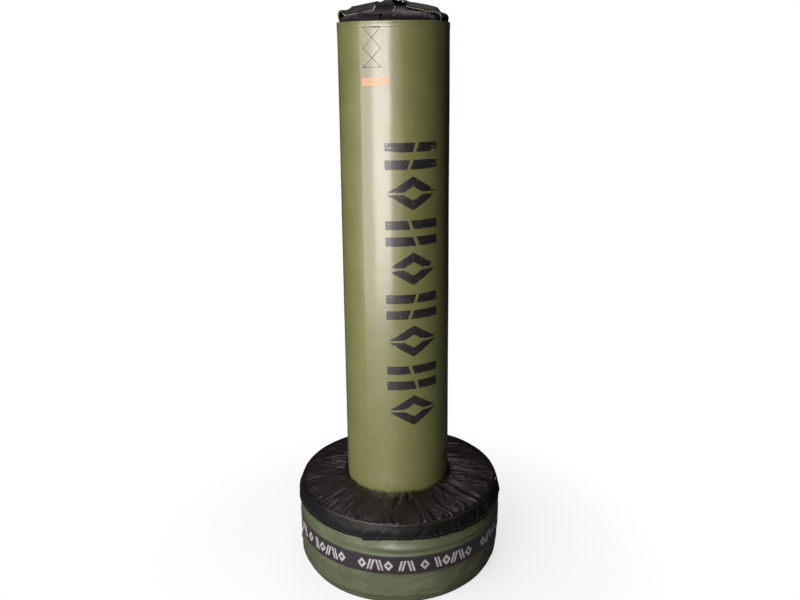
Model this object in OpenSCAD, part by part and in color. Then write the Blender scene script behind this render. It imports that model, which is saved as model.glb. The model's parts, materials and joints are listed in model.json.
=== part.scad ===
// Free standing bag: a padded striking trunk that slips over a steel post and stands
// in a weighted tyre base under a round fabric cover.
// Units are millimetres. +Z is up, the origin is the middle of the underside on the
// floor, and the front of the bag faces -Y.

/* [Trunk] */
// Outside diameter of the trunk
trunk_d = 336; // [330:1:337]
// Height of the trunk's rim above the floor
rim_z = 1738; // [1640:1:1760]
// Thickness of the vinyl of the trunk
skin_t = 3; // [2:0.5:3]
// Thickness of the foam lining inside the vinyl
lining_t = 26; // [20:1:30]
// Thickness of the plywood board under the filling
board_t = 12; // [9:1:15]

/* [Hanging straps] */
// Width of the webbing
strap_w = 60; // [50:1:60]
// Thickness of the webbing with its vinyl backing
strap_t = 3.2; // [2.4:0.1:3.4]
// Direction of the first strap, turned from the front towards +X
strap_turn = -24; // [-45:1:45]
// Length of webbing sewn down inside the trunk, below the rim
anchor_depth = 140; // [100:1:160]
// Radius of the eye sewn into the end of each strap
eye_r = 6; // [5:0.5:6]

/* [Base cover] */
// Outside diameter of the cover's green wall
cover_d = 666; // [664:1:670]
// Height of the crown of the black top panel
cover_top_z = 294; // [290:1:298]
// Thickness of the cover's vinyl
cover_t = 3; // [2:0.5:3]
// Height of the lower edge of the woven tape
tape_z = 115; // [110:1:125]
// Width of the woven tape
tape_w = 60; // [50:1:62]

/* [Tyre and ballast] */
// Outside diameter of the tyre (205/65 R15)
tyre_d = 647; // [640:1:647]
// Section width of the tyre, lying flat
tyre_w = 206; // [200:1:208]
// Diameter of the bead seat (15 inch rim)
bead_d = 381; // [378:1:384]
// Number of tie bolts through the ballast
tie_count = 6; // [4:1:8]

/* [Post] */
// Outside diameter of the steel tube
post_d = 60.3; // [58:0.1:61]
// Wall thickness of the steel tube
post_wall = 3; // [2:0.5:4]
// Height of the top of the post's tube
post_top_z = 1230; // [1100:1:1260]

/* [Hidden] */
$fn = 96;

// Gap between pieces that move against each other
running_gap = 0.3;
trunk_r = trunk_d / 2;
cover_r = cover_d / 2;
post_r = post_d / 2;
bead_r = bead_d / 2;
tyre_r = tyre_d / 2;

// Levels in the base, from the floor up
floor_panel_t = 3;
tyre_z = floor_panel_t + 0.2;
tyre_mid_z = tyre_z + tyre_w / 2;
tyre_top_z = tyre_z + tyre_w;
bead_wire_r = 9;
bead_half_span = 68;
lower_bead_z = tyre_mid_z - bead_half_span;
upper_bead_z = tyre_mid_z + bead_half_span;
plate_t = 6;
plate_r = bead_r + 8.5;
lower_plate_z = lower_bead_z - bead_wire_r - plate_t;
upper_plate_z = upper_bead_z + bead_wire_r;
deck_z = upper_plate_z + plate_t;

// The disc that the trunk turns on, and the trunk's own levels
disc_t = 8;
disc_z = deck_z + running_gap;
trunk_z = disc_z + disc_t + running_gap;
panel_t = 2.5;
board_z = trunk_z + panel_t;
stuffing_z = board_z + board_t;
closure_z = rim_z - 12.7;
pad_t = 50;
lining_r = trunk_r - skin_t - 0.2;
filling_r = lining_r - lining_t - 0.2;

// Core tube (75 mm PVC pipe) and its bushes
core_r = 37.5;
core_bore_r = 33.9;
core_top_z = post_top_z + 170;
bush_bore_r = post_r + 0.45;
bush_r = core_bore_r - 0.2;
upper_bush_z = post_top_z - 50;

// Fasteners: M10 tie bolts, M12 post bolts, 5 mm wood screws
tie_r = 5;
tie_nut_r = 9.8;
tie_circle_r = bead_r - 9.5;
post_bolt_r = 6;
post_nut_r = 11;
post_circle_r = 75;
hole_play = 0.5;
flange_r = 95;
flange_t = 8;
screw_circle_r = 57;

// Section of the cover's wall: half an outline, read from the floor up
wall_outline = [
    [cover_r - 37, 0], [cover_r - 33, 0], [cover_r - 17, 14], [cover_r - 8, 32],
    [cover_r - 2.6, 55], [cover_r, 85], [cover_r, 205], [cover_r - 2, 228],
    [cover_r - 7, 262], [cover_r - 13, 271]
];
// Section of the black skirt that hangs over the top of the wall, from the seam down
skirt_outline = [
    [cover_r - 8.2, 272.5], [cover_r - 3.4, 262.3], [cover_r + 0.8, 244.5], [cover_r + 2.2, 227]
];
skirt_t = 2.5;
// Crown of the top panel, from the shoulder seam in to the hem round the trunk
crown_outline = [
    [cover_r - 13.5, 273.5], [cover_r - 18, cover_top_z - 17], [cover_r - 32, cover_top_z - 10],
    [cover_r - 58, cover_top_z - 4.5], [cover_r - 93, cover_top_z - 1],
    [trunk_r + 45, cover_top_z], [trunk_r + 18, cover_top_z - 1.5],
    [trunk_r + 6, cover_top_z - 6], [trunk_r + 1.6, cover_top_z - 14],
    [trunk_r + 0.8, cover_top_z - 26]
];
collar_r = trunk_r + 4;
collar_hem_r = trunk_r + 10;
collar_z = tyre_top_z + 0.3;

// Strap section: up from the hinge line, over a soft fold, and in towards the middle
hinge_r = trunk_r - skin_t - 0.3 - strap_t / 2;
hinge_z = rim_z + 6;
anchor_top_z = hinge_z - strap_t / 2 - running_gap;
fold_z = rim_z + 31;
fold_r = 12;
strap_slope = 6;
strap_run = 119;
eye_wall = 3;
tip_w = 30;
tip_length = 40;

function polar(r, angle) = [r * cos(angle), r * sin(angle)];
function reversed(points) = [for (i = [len(points) - 1:-1:0]) points[i]];

// A rounded box in section: a superellipse, which is how a tyre lies on its side
function rounded_section(half_x, half_y, power, steps) = [
    for (i = [0:steps - 1])
        let (a = 360 * i / steps, c = cos(a), s = sin(a))
        [half_x * sign(c) * pow(abs(c), 2 / power), half_y * sign(s) * pow(abs(s), 2 / power)]
];

module ring(r_out, r_in, h) {
    difference() {
        cylinder(r = r_out, h = h);
        translate([0, 0, -1]) cylinder(r = r_in, h = h + 2);
    }
}

module around(count, radius, first = 0) {
    for (i = [0:count - 1])
        rotate([0, 0, first + 360 * i / count]) translate([radius, 0, 0]) children();
}

module hex(r, h) {
    cylinder(r = r, h = h, $fn = 6);
}

// The direction square to an outline at point i, to the left of the way it runs
function left_of(points, i) =
    let (last = len(points) - 1, d = points[min(i + 1, last)] - points[max(i - 1, 0)])
    [-d.y, d.x] / norm(d);

// The same outline, moved to its left by t
function beside(points, t) = [for (i = [0:len(points) - 1]) points[i] + t * left_of(points, i)];

// A skin of thickness t on the left of an outline, turned about the axis
module skin_of_revolution(outline, t) {
    rotate_extrude() polygon(concat(outline, reversed(beside(outline, t))));
}

// ---- Base cover ----

module cover_bottom() {
    color("#1b1b1c") cylinder(r = cover_r - 37.3, h = floor_panel_t);
}

module cover_wall() {
    color("#5b6340") skin_of_revolution(wall_outline, cover_t);
}

module cover_skirt() {
    color("#1a1819") skin_of_revolution(skirt_outline, -skirt_t);
}

module cover_top() {
    color("#231d1d") skin_of_revolution(crown_outline, cover_t);
}

module cover_piping() {
    color("#141314") rotate_extrude() translate([cover_r - 11.2, 276.2]) circle(r = 2.2, $fn = 24);
}

module cover_tape() {
    color("#2b282b") translate([0, 0, tape_z]) ring(cover_r + 1.6, cover_r, tape_w);
}

module collar_elastic() {
    color("#101010")
        rotate_extrude() translate([trunk_r + 7.6, cover_top_z - 17]) circle(r = 1.6, $fn = 24);
}

module collar_foam() {
    crown = beside([for (i = [1:6]) crown_outline[i]], cover_t + 0.4);
    color("#c9c2a4") rotate_extrude() polygon(concat(
        [[collar_r, collar_z], [cover_r - 17.5, collar_z], [cover_r - 17.5, 262]],
        crown,
        [[collar_hem_r, cover_top_z - 12], [collar_hem_r, cover_top_z - 26],
         [collar_r, cover_top_z - 32]]
    ));
}

module side_foam() {
    color("#c9c2a4") translate([0, 0, 82]) ring(cover_r - cover_t - 0.3, tyre_r + 0.3, 120);
}

// ---- Tyre, ballast and its clamp plates ----

tyre_depth = (tyre_r - bead_r) / 2;
tyre_centre_r = tyre_r - tyre_depth;
tread_t = 14;
sidewall_t = 9;
tread_groove = [7, 6];

module tyre_inner_section(shrink) {
    translate([tyre_centre_r, tyre_mid_z])
        polygon(rounded_section(tyre_depth - tread_t - shrink, tyre_w / 2 - sidewall_t - shrink, 3, 48));
}

module bead_sections(grow) {
    for (z = [lower_bead_z, upper_bead_z])
        translate([bead_r + bead_wire_r, z]) circle(r = bead_wire_r + grow, $fn = 32);
}

module tyre_section() {
    mouth_half = bead_half_span - 4;
    difference() {
        translate([tyre_centre_r, tyre_mid_z])
            polygon(rounded_section(tyre_depth, tyre_w / 2, 3, 48));
        tyre_inner_section(0);
        translate([bead_r - 20, tyre_mid_z - mouth_half]) square([45, 2 * mouth_half]);
        translate([bead_r - 20, 0]) square([28.5, tyre_top_z + 5]);
        for (offset_z = [-45:30:45])
            translate([tyre_r - tread_groove.y, tyre_mid_z + offset_z - tread_groove.x / 2])
                square([20, tread_groove.x]);
    }
    bead_sections(0);
}

module tyre() {
    color("#202022") rotate_extrude() tyre_section();
}

module ballast() {
    hub_z = lower_plate_z + plate_t + 0.2;
    hub_h = upper_plate_z - hub_z - 0.2;
    neck_half = bead_half_span - bead_wire_r - 2;
    color("#9b978e") difference() {
        rotate_extrude() difference() {
            union() {
                translate([post_r + 0.2, hub_z]) square([bead_r - post_r - 1.2, hub_h]);
                translate([bead_r - 5, tyre_mid_z - neck_half]) square([35, 2 * neck_half]);
                intersection() {
                    tyre_inner_section(0.5);
                    translate([bead_r + 12, 0]) square([200, tyre_top_z]);
                }
            }
            bead_sections(0.5);
            square([flange_r + 3, hub_z + flange_t + 16]);
        }
        around(tie_count, tie_circle_r) cylinder(r = tie_r + hole_play, h = tyre_top_z);
    }
}

module clamp_plate(z) {
    difference() {
        translate([0, 0, z]) cylinder(r = plate_r, h = plate_t);
        translate([0, 0, z - 1]) around(tie_count, tie_circle_r)
            cylinder(r = tie_r + hole_play, h = plate_t + 2);
        translate([0, 0, z - 1]) children();
    }
}

module lower_plate() {
    color("#3d4043") clamp_plate(lower_plate_z)
        around(4, post_circle_r, 45) cylinder(r = post_bolt_r + hole_play, h = plate_t + 2);
}

module upper_plate() {
    color("#3d4043") clamp_plate(upper_plate_z) cylinder(r = post_r + 0.2, h = plate_t + 2);
}

module tie_bolts() {
    head_h = 6.4;
    color("#b9bcc0") around(tie_count, tie_circle_r) {
        translate([0, 0, lower_plate_z - head_h]) hex(tie_nut_r, head_h);
        translate([0, 0, lower_plate_z - 1]) cylinder(r = tie_r, h = deck_z - lower_plate_z + 15, $fn = 32);
    }
}

module tie_washers() {
    color("#c6c8ca") translate([0, 0, deck_z]) around(tie_count, tie_circle_r)
        ring(10, tie_r + 0.1, 2, $fn = 32);
}

module tie_nuts() {
    color("#b9bcc0") translate([0, 0, deck_z + 2]) around(tie_count, tie_circle_r) difference() {
        hex(tie_nut_r, 8);
        translate([0, 0, -1]) cylinder(r = tie_r + 0.1, h = 10, $fn = 32);
    }
}

// ---- Post ----

post_z = lower_plate_z + plate_t + flange_t;

module post_flange() {
    color("#2f3235") difference() {
        translate([0, 0, lower_plate_z + plate_t]) cylinder(r = flange_r, h = flange_t);
        around(4, post_circle_r, 45) cylinder(r = post_bolt_r + hole_play, h = post_z + 5);
    }
}

module post_bolts() {
    nut_h = 10;
    color("#b9bcc0") around(4, post_circle_r, 45) {
        translate([0, 0, post_z]) hex(post_nut_r, 7.5);
        translate([0, 0, lower_plate_z - nut_h - 1])
            cylinder(r = post_bolt_r, h = post_z - lower_plate_z + nut_h + 2, $fn = 32);
    }
}

module post_nuts() {
    nut_h = 10;
    color("#b9bcc0") translate([0, 0, lower_plate_z - nut_h]) around(4, post_circle_r, 45)
        difference() {
            hex(post_nut_r, nut_h);
            translate([0, 0, -1]) cylinder(r = post_bolt_r + 0.1, h = nut_h + 2, $fn = 32);
        }
}

module post() {
    color("#2f3235") translate([0, 0, post_z]) ring(post_r, post_r - post_wall, post_top_z - post_z);
}

module post_cap() {
    plug_r = post_r - post_wall - 0.1;
    color("#161617") {
        translate([0, 0, post_top_z - 30]) cylinder(r = plug_r, h = 31);
        translate([0, 0, post_top_z]) cylinder(r1 = post_r, r2 = post_r - 4, h = 6);
    }
}

// ---- Disc that the trunk turns on ----

module thrust_disc() {
    color("#e4e2da") translate([0, 0, disc_z]) ring(135, post_r + 0.6, disc_t);
}

// ---- Trunk ----

module trunk_bottom_panel() {
    color("#1a1819") translate([0, 0, trunk_z]) ring(trunk_r, core_r + 0.2, panel_t);
}

module trunk_board() {
    color("#c8a878") translate([0, 0, board_z]) difference() {
        ring(lining_r, core_r + 0.2, board_t);
        around(4, screw_circle_r, 45) translate([0, 0, 1]) cylinder(r = 2.6, h = board_t, $fn = 24);
    }
}

module core_flange() {
    foot_t = 5;
    color("#8f9396") translate([0, 0, stuffing_z]) difference() {
        union() {
            cylinder(r = 70, h = foot_t);
            cylinder(r = core_r + 6, h = 34);
        }
        translate([0, 0, -1]) cylinder(r = core_r + 0.2, h = 40);
        around(4, screw_circle_r, 45) translate([0, 0, -1]) cylinder(r = 2.6, h = foot_t + 2, $fn = 24);
    }
}

module flange_screws() {
    color("#b9bcc0") around(4, screw_circle_r, 45) {
        translate([0, 0, stuffing_z + 5]) cylinder(r1 = 4.8, r2 = 3.4, h = 2.6, $fn = 32);
        translate([0, 0, board_z + 1.5]) cylinder(r = 2.4, h = board_t + 4, $fn = 24);
    }
}

module core_tube() {
    color("#8f9396") translate([0, 0, trunk_z]) ring(core_r, core_bore_r, core_top_z - trunk_z);
}

module lower_bush() {
    color("#e4e2da") translate([0, 0, trunk_z]) ring(bush_r, bush_bore_r, 45);
}

module upper_bush() {
    color("#e4e2da") translate([0, 0, upper_bush_z]) ring(bush_r, bush_bore_r, 40);
}

module core_cap() {
    color("#161617") {
        translate([0, 0, core_top_z - 18]) cylinder(r = bush_r, h = 19);
        translate([0, 0, core_top_z]) cylinder(r = core_r, h = 4);
    }
}

module trunk_filling() {
    pad_z = closure_z - pad_t - 0.3;
    color("#8a8f96") difference() {
        translate([0, 0, stuffing_z + 0.3]) cylinder(r = filling_r, h = pad_z - stuffing_z - 0.3);
        cylinder(r = core_r + 0.3, h = core_top_z + 4.3);
        cylinder(r = core_r + 6.3, h = stuffing_z + 34.3);
        cylinder(r = 70.3, h = stuffing_z + 8);
    }
}

module trunk_lining() {
    color("#d7d1bd") difference() {
        translate([0, 0, stuffing_z + 0.3])
            ring(lining_r, lining_r - lining_t, closure_z - stuffing_z - 0.6);
        strap_anchors(0.2);
    }
}

module trunk_shell() {
    color("#62663d") translate([0, 0, board_z + 0.1])
        ring(trunk_r, trunk_r - skin_t, rim_z - board_z - 0.1);
}

module top_pad() {
    color("#d7d1bd") translate([0, 0, closure_z - pad_t]) cylinder(r = filling_r, h = pad_t - 0.3);
}

// The nylon closure: gathered cloth that rises out of the rim in a low heap
module top_closure() {
    edge_r = hinge_r - strap_t / 2 - 0.5;
    color("#2a272a") rotate_extrude() polygon([
        [0, closure_z], [edge_r, closure_z], [edge_r, rim_z + 10], [edge_r - 6, rim_z + 18],
        [edge_r - 35, rim_z + 26], [100, rim_z + 31], [60, rim_z + 35], [0, rim_z + 37]
    ]);
}

// ---- Hanging straps ----

// The webbing's run inside the trunk, as a piece of tube at each of the four places
module strap_anchors(grow = 0) {
    half_turn = asin((strap_w / 2 + grow) / hinge_r);
    color("#242124")
        for (i = [0:3])
            rotate([0, 0, strap_turn + 90 * i - 90 - half_turn])
                translate([0, 0, rim_z - anchor_depth - grow])
                    rotate_extrude(angle = 2 * half_turn)
                        translate([hinge_r - strap_t / 2 - grow, 0])
                            square([strap_t + 2 * grow, anchor_top_z - rim_z + anchor_depth + 2 * grow]);
}

function strap_side(side) =
    let (fold_centre = [hinge_r - fold_r, fold_z], r = fold_r + side * strap_t / 2,
         along = [-cos(strap_slope), sin(strap_slope)])
    concat(
        [[hinge_r + side * strap_t / 2, hinge_z]],
        [for (i = [0:6]) fold_centre + polar(r, (90 - strap_slope) * i / 6)],
        [fold_centre + polar(r, 90 - strap_slope) + strap_run * along]
    );

// The middle of the eye, at the inner end of the strap
eye_centre = [hinge_r - fold_r, fold_z] + polar(fold_r, 90 - strap_slope)
    + (strap_run + eye_r + eye_wall / 2) * [-cos(strap_slope), sin(strap_slope)];

module strap(turn) {
    shoulder_x = eye_centre.x + tip_length;
    color("#242124") rotate([0, 0, turn - 90]) difference() {
        intersection() {
            translate([0, strap_w / 2, 0]) rotate([90, 0, 0]) union() {
                linear_extrude(height = strap_w)
                    polygon(concat(strap_side(1), reversed(strap_side(-1))));
                translate([hinge_r, hinge_z]) cylinder(r = strap_t / 2, h = strap_w, $fn = 32);
                translate(eye_centre) cylinder(r = eye_r + eye_wall, h = strap_w, $fn = 48);
            }
            translate([0, 0, hinge_z - 50]) linear_extrude(height = 200) polygon([
                [0, -tip_w / 2], [shoulder_x, -tip_w / 2], [shoulder_x + 18, -strap_w / 2],
                [trunk_r, -strap_w / 2], [trunk_r, strap_w / 2], [shoulder_x + 18, strap_w / 2],
                [shoulder_x, tip_w / 2], [0, tip_w / 2]
            ]);
        }
        translate([eye_centre.x, strap_w, eye_centre.y]) rotate([90, 0, 0])
            cylinder(r = eye_r, h = 2 * strap_w, $fn = 48);
    }
}

cover_bottom();
cover_wall();
cover_skirt();
cover_top();
cover_piping();
cover_tape();
collar_elastic();
collar_foam();
side_foam();
tyre();
ballast();
lower_plate();
upper_plate();
tie_bolts();
tie_washers();
tie_nuts();
post_flange();
post_bolts();
post_nuts();
post();
post_cap();
thrust_disc();
trunk_bottom_panel();
trunk_board();
core_flange();
flange_screws();
core_tube();
lower_bush();
upper_bush();
core_cap();
trunk_filling();
trunk_lining();
trunk_shell();
top_pad();
top_closure();
strap_anchors();
strap(strap_turn);  // strap_front_left
strap(strap_turn + 90);  // strap_front_right
strap(strap_turn + 180);  // strap_back_right
strap(strap_turn + 270);  // strap_back_left
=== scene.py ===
"""The looks of a free standing bag, built round its CAD frame.

Azimuths turn from the front of the bag (-Y) towards +X. Lengths are in metres.
"""

import json
import math

import bpy
import numpy as np
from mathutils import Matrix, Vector


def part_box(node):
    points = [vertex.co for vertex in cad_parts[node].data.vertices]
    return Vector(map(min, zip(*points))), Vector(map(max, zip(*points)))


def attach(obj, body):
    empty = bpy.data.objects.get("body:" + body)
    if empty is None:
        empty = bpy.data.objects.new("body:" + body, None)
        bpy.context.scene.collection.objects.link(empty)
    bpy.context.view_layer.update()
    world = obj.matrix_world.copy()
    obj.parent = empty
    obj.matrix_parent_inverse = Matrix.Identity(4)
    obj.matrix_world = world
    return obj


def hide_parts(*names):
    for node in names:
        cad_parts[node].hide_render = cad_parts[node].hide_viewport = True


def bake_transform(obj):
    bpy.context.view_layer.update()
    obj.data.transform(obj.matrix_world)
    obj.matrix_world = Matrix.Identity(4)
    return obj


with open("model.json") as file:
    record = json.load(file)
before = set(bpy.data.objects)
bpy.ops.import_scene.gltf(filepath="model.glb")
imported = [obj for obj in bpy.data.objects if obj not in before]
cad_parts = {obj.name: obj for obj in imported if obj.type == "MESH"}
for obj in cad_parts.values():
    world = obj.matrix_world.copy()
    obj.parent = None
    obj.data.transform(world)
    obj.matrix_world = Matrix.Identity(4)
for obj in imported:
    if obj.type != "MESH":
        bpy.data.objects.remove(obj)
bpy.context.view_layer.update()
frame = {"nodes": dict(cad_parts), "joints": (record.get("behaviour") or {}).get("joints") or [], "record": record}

MM = 0.001
FULL_TURN = 2 * math.pi
TINY = 1e-9


def low(node):
    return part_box(node)[0]


def high(node):
    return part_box(node)[1]


# ---- Measures, from the frame ----

TRUNK_R = high("trunk_shell").x
TRUNK_BOTTOM = low("trunk_shell").z
RIM = high("trunk_shell").z
COVER_R = high("cover_wall").x
CROWN = high("cover_top").z
PIPING_Z = (low("cover_piping").z + high("cover_piping").z) / 2
PIPING_SIZE = (high("cover_piping").z - low("cover_piping").z) / 2
PIPING_R = high("cover_piping").x - PIPING_SIZE
TAPE_LOW, TAPE_HIGH = low("cover_tape").z, high("cover_tape").z
SKIRT_LOW, SKIRT_HIGH = low("cover_skirt").z, high("cover_skirt").z

STRAPS = {}
for joint in frame["joints"]:
    if joint["name"].endswith("_strap_swing"):
        x, y, z = joint["pos_m"]
        STRAPS[joint["child"]] = {
            "azimuth": math.atan2(x, -y), "hinge_r": math.hypot(x, y), "hinge_z": z,
        }
STRAP_W = 60 * MM
HINGE_R = STRAPS["front_left_strap"]["hinge_r"]
EYES = {m["name"]: m for m in frame["record"]["mounts"] if m["kind"] == "bore"}
EYE_R = math.hypot(*EYES["front_left_eye"]["pos_m"][:2])
EYE_Z = EYES["front_left_eye"]["pos_m"][2]
EYE_BORE = EYES["front_left_eye"]["dims"]["r_mm"] * MM


# ---- Numbers that vary smoothly ----

LATTICE = 256


def ease(x, start, end):
    """0 before start, 1 after end, and a smooth step between them."""
    t = np.clip((np.asarray(x, float) - start) / (end - start), 0, 1)
    return t * t * (3 - 2 * t)


def lattice_noise(u, v, seed, period=LATTICE):
    """Smooth noise from -1 to 1 on a lattice of unit cells, which repeats along u."""
    grid = np.random.default_rng(seed).uniform(-1, 1, (period, LATTICE))
    i, j = np.floor(u).astype(int), np.floor(v).astype(int)
    fu, fv = u - i, v - j
    fu, fv = fu * fu * (3 - 2 * fu), fv * fv * (3 - 2 * fv)

    def at(a, b):
        return grid[a % period, b % LATTICE]

    near = at(i, j) * (1 - fu) + at(i + 1, j) * fu
    far = at(i, j + 1) * (1 - fu) + at(i + 1, j + 1) * fu
    return near * (1 - fv) + far * fv


def round_noise(azimuth, height, cells, tall, seed):
    """Noise that closes round the bag: cells lumps to a turn, each tall metres high."""
    turns = np.mod(azimuth / FULL_TURN, 1) * cells
    return lattice_noise(turns, height / tall + 40, seed, cells)


def hump(x, width):
    """A bell curve: 1 where x is 0, and about a third at width on either side."""
    return np.exp(-(x / width) ** 2)


def angle_between(azimuth, other):
    """The turn from other to azimuth, from -pi to pi."""
    return np.mod(azimuth - other + math.pi, FULL_TURN) - math.pi


def hump_at(azimuth, degrees, width):
    """A bell curve round the bag, with its top in that direction and its width in radians."""
    return hump(angle_between(azimuth, math.radians(degrees)), width)


def pleats(azimuth, seed, count, sharp):
    """A row of uneven folds round the bag: 0 between folds, up to 1 on a fold."""
    random = np.random.default_rng(seed)
    at = (np.arange(count) + random.uniform(-0.38, 0.38, count)) * FULL_TURN / count
    size = random.uniform(0.25, 1.0, count) ** 1.3
    width = random.uniform(0.6, 1.5, count) * FULL_TURN / count * sharp
    total = np.zeros(np.shape(azimuth))
    for centre, tall, wide in zip(at, size, width):
        total += tall * hump(angle_between(azimuth, centre), wide)
    return total


def creases(azimuth, radius, share, seed, count, reach, skew, width, crowd=None):
    """Sharp radial creases with swollen lips. share runs from 0 at the hem to 1 at the seam.

    reach is the range of how far they run from share 0, or back from 1 where it is negative, and
    crowd(azimuth) says where they are deep.
    """
    random = np.random.default_rng(seed)
    total = np.zeros(np.shape(azimuth))
    from_seam = reach[0] < 0
    far = 1 - share if from_seam else share
    for number in range(count):
        centre = (number + random.uniform(-0.42, 0.42)) * FULL_TURN / count
        run = random.uniform(abs(reach[0]), abs(reach[1]))
        depth = random.uniform(0.35, 1.0) * (1 if crowd is None else crowd(centre))
        lean, bow = random.uniform(-skew, skew, 2)
        wide = width * random.uniform(0.7, 1.5) * (1 + 0.8 * far / run)
        s = angle_between(azimuth, centre + lean * far + bow * far ** 2) * radius
        fade = (1 - ease(far, 0.35 * run, run)) * depth
        lips = 0.55 * hump(np.abs(s) - 2.4 * wide, 1.7 * wide)
        total += fade * (lips - np.exp(-(np.abs(s) / wide) ** 1.3))
    return total


# ---- Curves and meshes ----

def smooth_between(a, b, c, d, t):
    """The point at share t of the way from b to c, on a smooth curve through a, b, c and d."""
    return 0.5 * (2 * b + (c - a) * t + (2 * a - 5 * b + 4 * c - d) * t ** 2
                  + (3 * b - a - 3 * c + d) * t ** 3)


def curve_through(points, step):
    """A smooth curve through the points, with a new point about every step."""
    p = np.asarray(points, float)
    ends = np.vstack([2 * p[0] - p[1], p, 2 * p[-1] - p[-2]])
    t = np.linspace(0, 1, 24, endpoint=False)[:, None]
    fine = [smooth_between(*four, t) for four in zip(ends, ends[1:], ends[2:], ends[3:])]
    return spaced(np.vstack(fine + [p[-1:]]), step)


def spaced(line, step):
    """The same line with its points an even distance apart, close to step."""
    run = run_of(line)
    count = max(2, int(round(run[-1] / step)) + 1)
    at = np.linspace(0, run[-1], count)
    return np.stack([np.interp(at, run, line[:, k]) for k in range(line.shape[1])], axis=1)


def run_of(line):
    """How far along the line each of its points is."""
    return np.concatenate([[0], np.cumsum(np.linalg.norm(np.diff(line, axis=0), axis=1))])


def unit(vectors):
    return vectors / np.maximum(np.linalg.norm(vectors, axis=-1, keepdims=True), TINY)


def cylindrical(azimuth, radius, height):
    return np.stack([radius * np.sin(azimuth), -radius * np.cos(azimuth), height], axis=-1)


def add_mesh(name, points, faces, uv=None, smooth=True):
    """A new object. uv has one pair for each corner of each face, in order."""
    mesh = bpy.data.meshes.new(name)
    mesh.from_pydata(np.asarray(points, float).tolist(), [], faces)
    if uv is not None:
        layer = mesh.uv_layers.new(name="cut")
        layer.data.foreach_set("uv", np.asarray(uv, np.float32).ravel())
    mesh.polygons.foreach_set("use_smooth", [smooth] * len(mesh.polygons))
    mesh.update()
    piece = bpy.data.objects.new(name, mesh)
    bpy.context.scene.collection.objects.link(piece)
    return piece


def grid_faces(rows, columns, close_rows, close_columns):
    """Quads of a grid as four index arrays, with the corners' own row and column numbers."""
    i = np.arange(rows if close_rows else rows - 1)
    j = np.arange(columns if close_columns else columns - 1)
    i, j = (a.ravel() for a in np.meshgrid(i, j, indexing="ij"))
    corner_rows = np.stack([i, i + 1, i + 1, i], axis=1)
    corner_columns = np.stack([j, j, j + 1, j + 1], axis=1)
    faces = (corner_rows % rows) * columns + corner_columns % columns
    return faces, corner_rows, corner_columns


def grid_piece(name, points, row_run, column_run, close_columns=True):
    """A mesh from a round grid of points, with its UVs in metres along the two directions."""
    rows, columns = points.shape[:2]
    faces, corner_rows, corner_columns = grid_faces(rows, columns, True, close_columns)
    row_run = np.append(row_run, row_run[-1] + row_run[1])
    column_run = np.append(column_run, column_run[-1])
    uv = np.stack([row_run[corner_rows], column_run[corner_columns]], axis=-1)
    return add_mesh(name, points.reshape(-1, 3), faces.tolist(), uv.reshape(-1, 2))


def even_azimuths(count):
    return np.arange(count) * FULL_TURN / count


def turned(name, section, azimuths, bend=None):
    """A closed section of (radius, height) points turned about the post. It runs up on its outer side.

    bend(azimuth, radius, height) gives each point's new radius and height.
    """
    section = np.asarray(section, float)
    azimuth = np.repeat(azimuths[:, None], len(section), axis=1)
    radius = np.repeat(section[None, :, 0], len(azimuths), axis=0)
    height = np.repeat(section[None, :, 1], len(azimuths), axis=0)
    if bend is not None:
        radius, height = bend(azimuth, radius, height)
    reach = section[:, 0].max()
    return grid_piece(name, cylindrical(azimuth, radius, height), azimuths * reach, run_of(section))


def grid_normals(points):
    """Unit normals of a grid that closes along its rows, out of its front."""
    along = np.roll(points, -1, axis=0) - np.roll(points, 1, axis=0)
    across = np.gradient(points, axis=1)
    return unit(np.cross(along, across))


def skin(name, points, thickness, azimuths, reach):
    """A closed skin whose front is a round grid of points and whose back lies thickness behind it."""
    back = points - grid_normals(points) * thickness
    middle = (points + back) / 2

    def rounded(end, inner):
        out = unit(points[:, end] - points[:, inner])
        return (middle[:, end] + out * 0.35 * thickness)[:, None]

    closed = np.concatenate([points, rounded(-1, -2), back[:, ::-1], rounded(0, 1)], axis=1)
    run = run_of(points[0])
    column_run = np.concatenate([run, run[-1:], run[::-1], run[:1]])
    return grid_piece(name, closed, azimuths * reach, column_run)


def joined(name, parts):
    """One object from several, which it replaces."""
    bpy.ops.object.select_all(action="DESELECT")
    for part in parts:
        part.select_set(True)
    bpy.context.view_layer.objects.active = parts[0]
    bpy.ops.object.join()
    parts[0].name = name
    parts[0].data.name = name
    return parts[0]


# ---- Cloth ----

CLOTH = {
    "quality": 5, "mass": 0.4, "tension_stiffness": 25, "compression_stiffness": 25, "shear_stiffness": 12,
    "tension_damping": 20, "compression_damping": 20, "shear_damping": 15, "bending_damping": 2,
    "air_damping": 4, "vertex_group_mass": "held", "pin_stiffness": 5,
}
CLOTH_GAP = 1 * MM
CLOTH_FRICTION = 8
# How far under the cloth the form that it settles on lies
UNDER_CLOTH = np.array([0, 0, 1.5 * MM])


def round_sheet(name, grid):
    """A mesh of a grid that closes along its rows, and is open at both edges."""
    return add_mesh(name, grid.reshape(-1, 3), grid_faces(*grid.shape[:2], True, False)[0].tolist())


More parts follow.
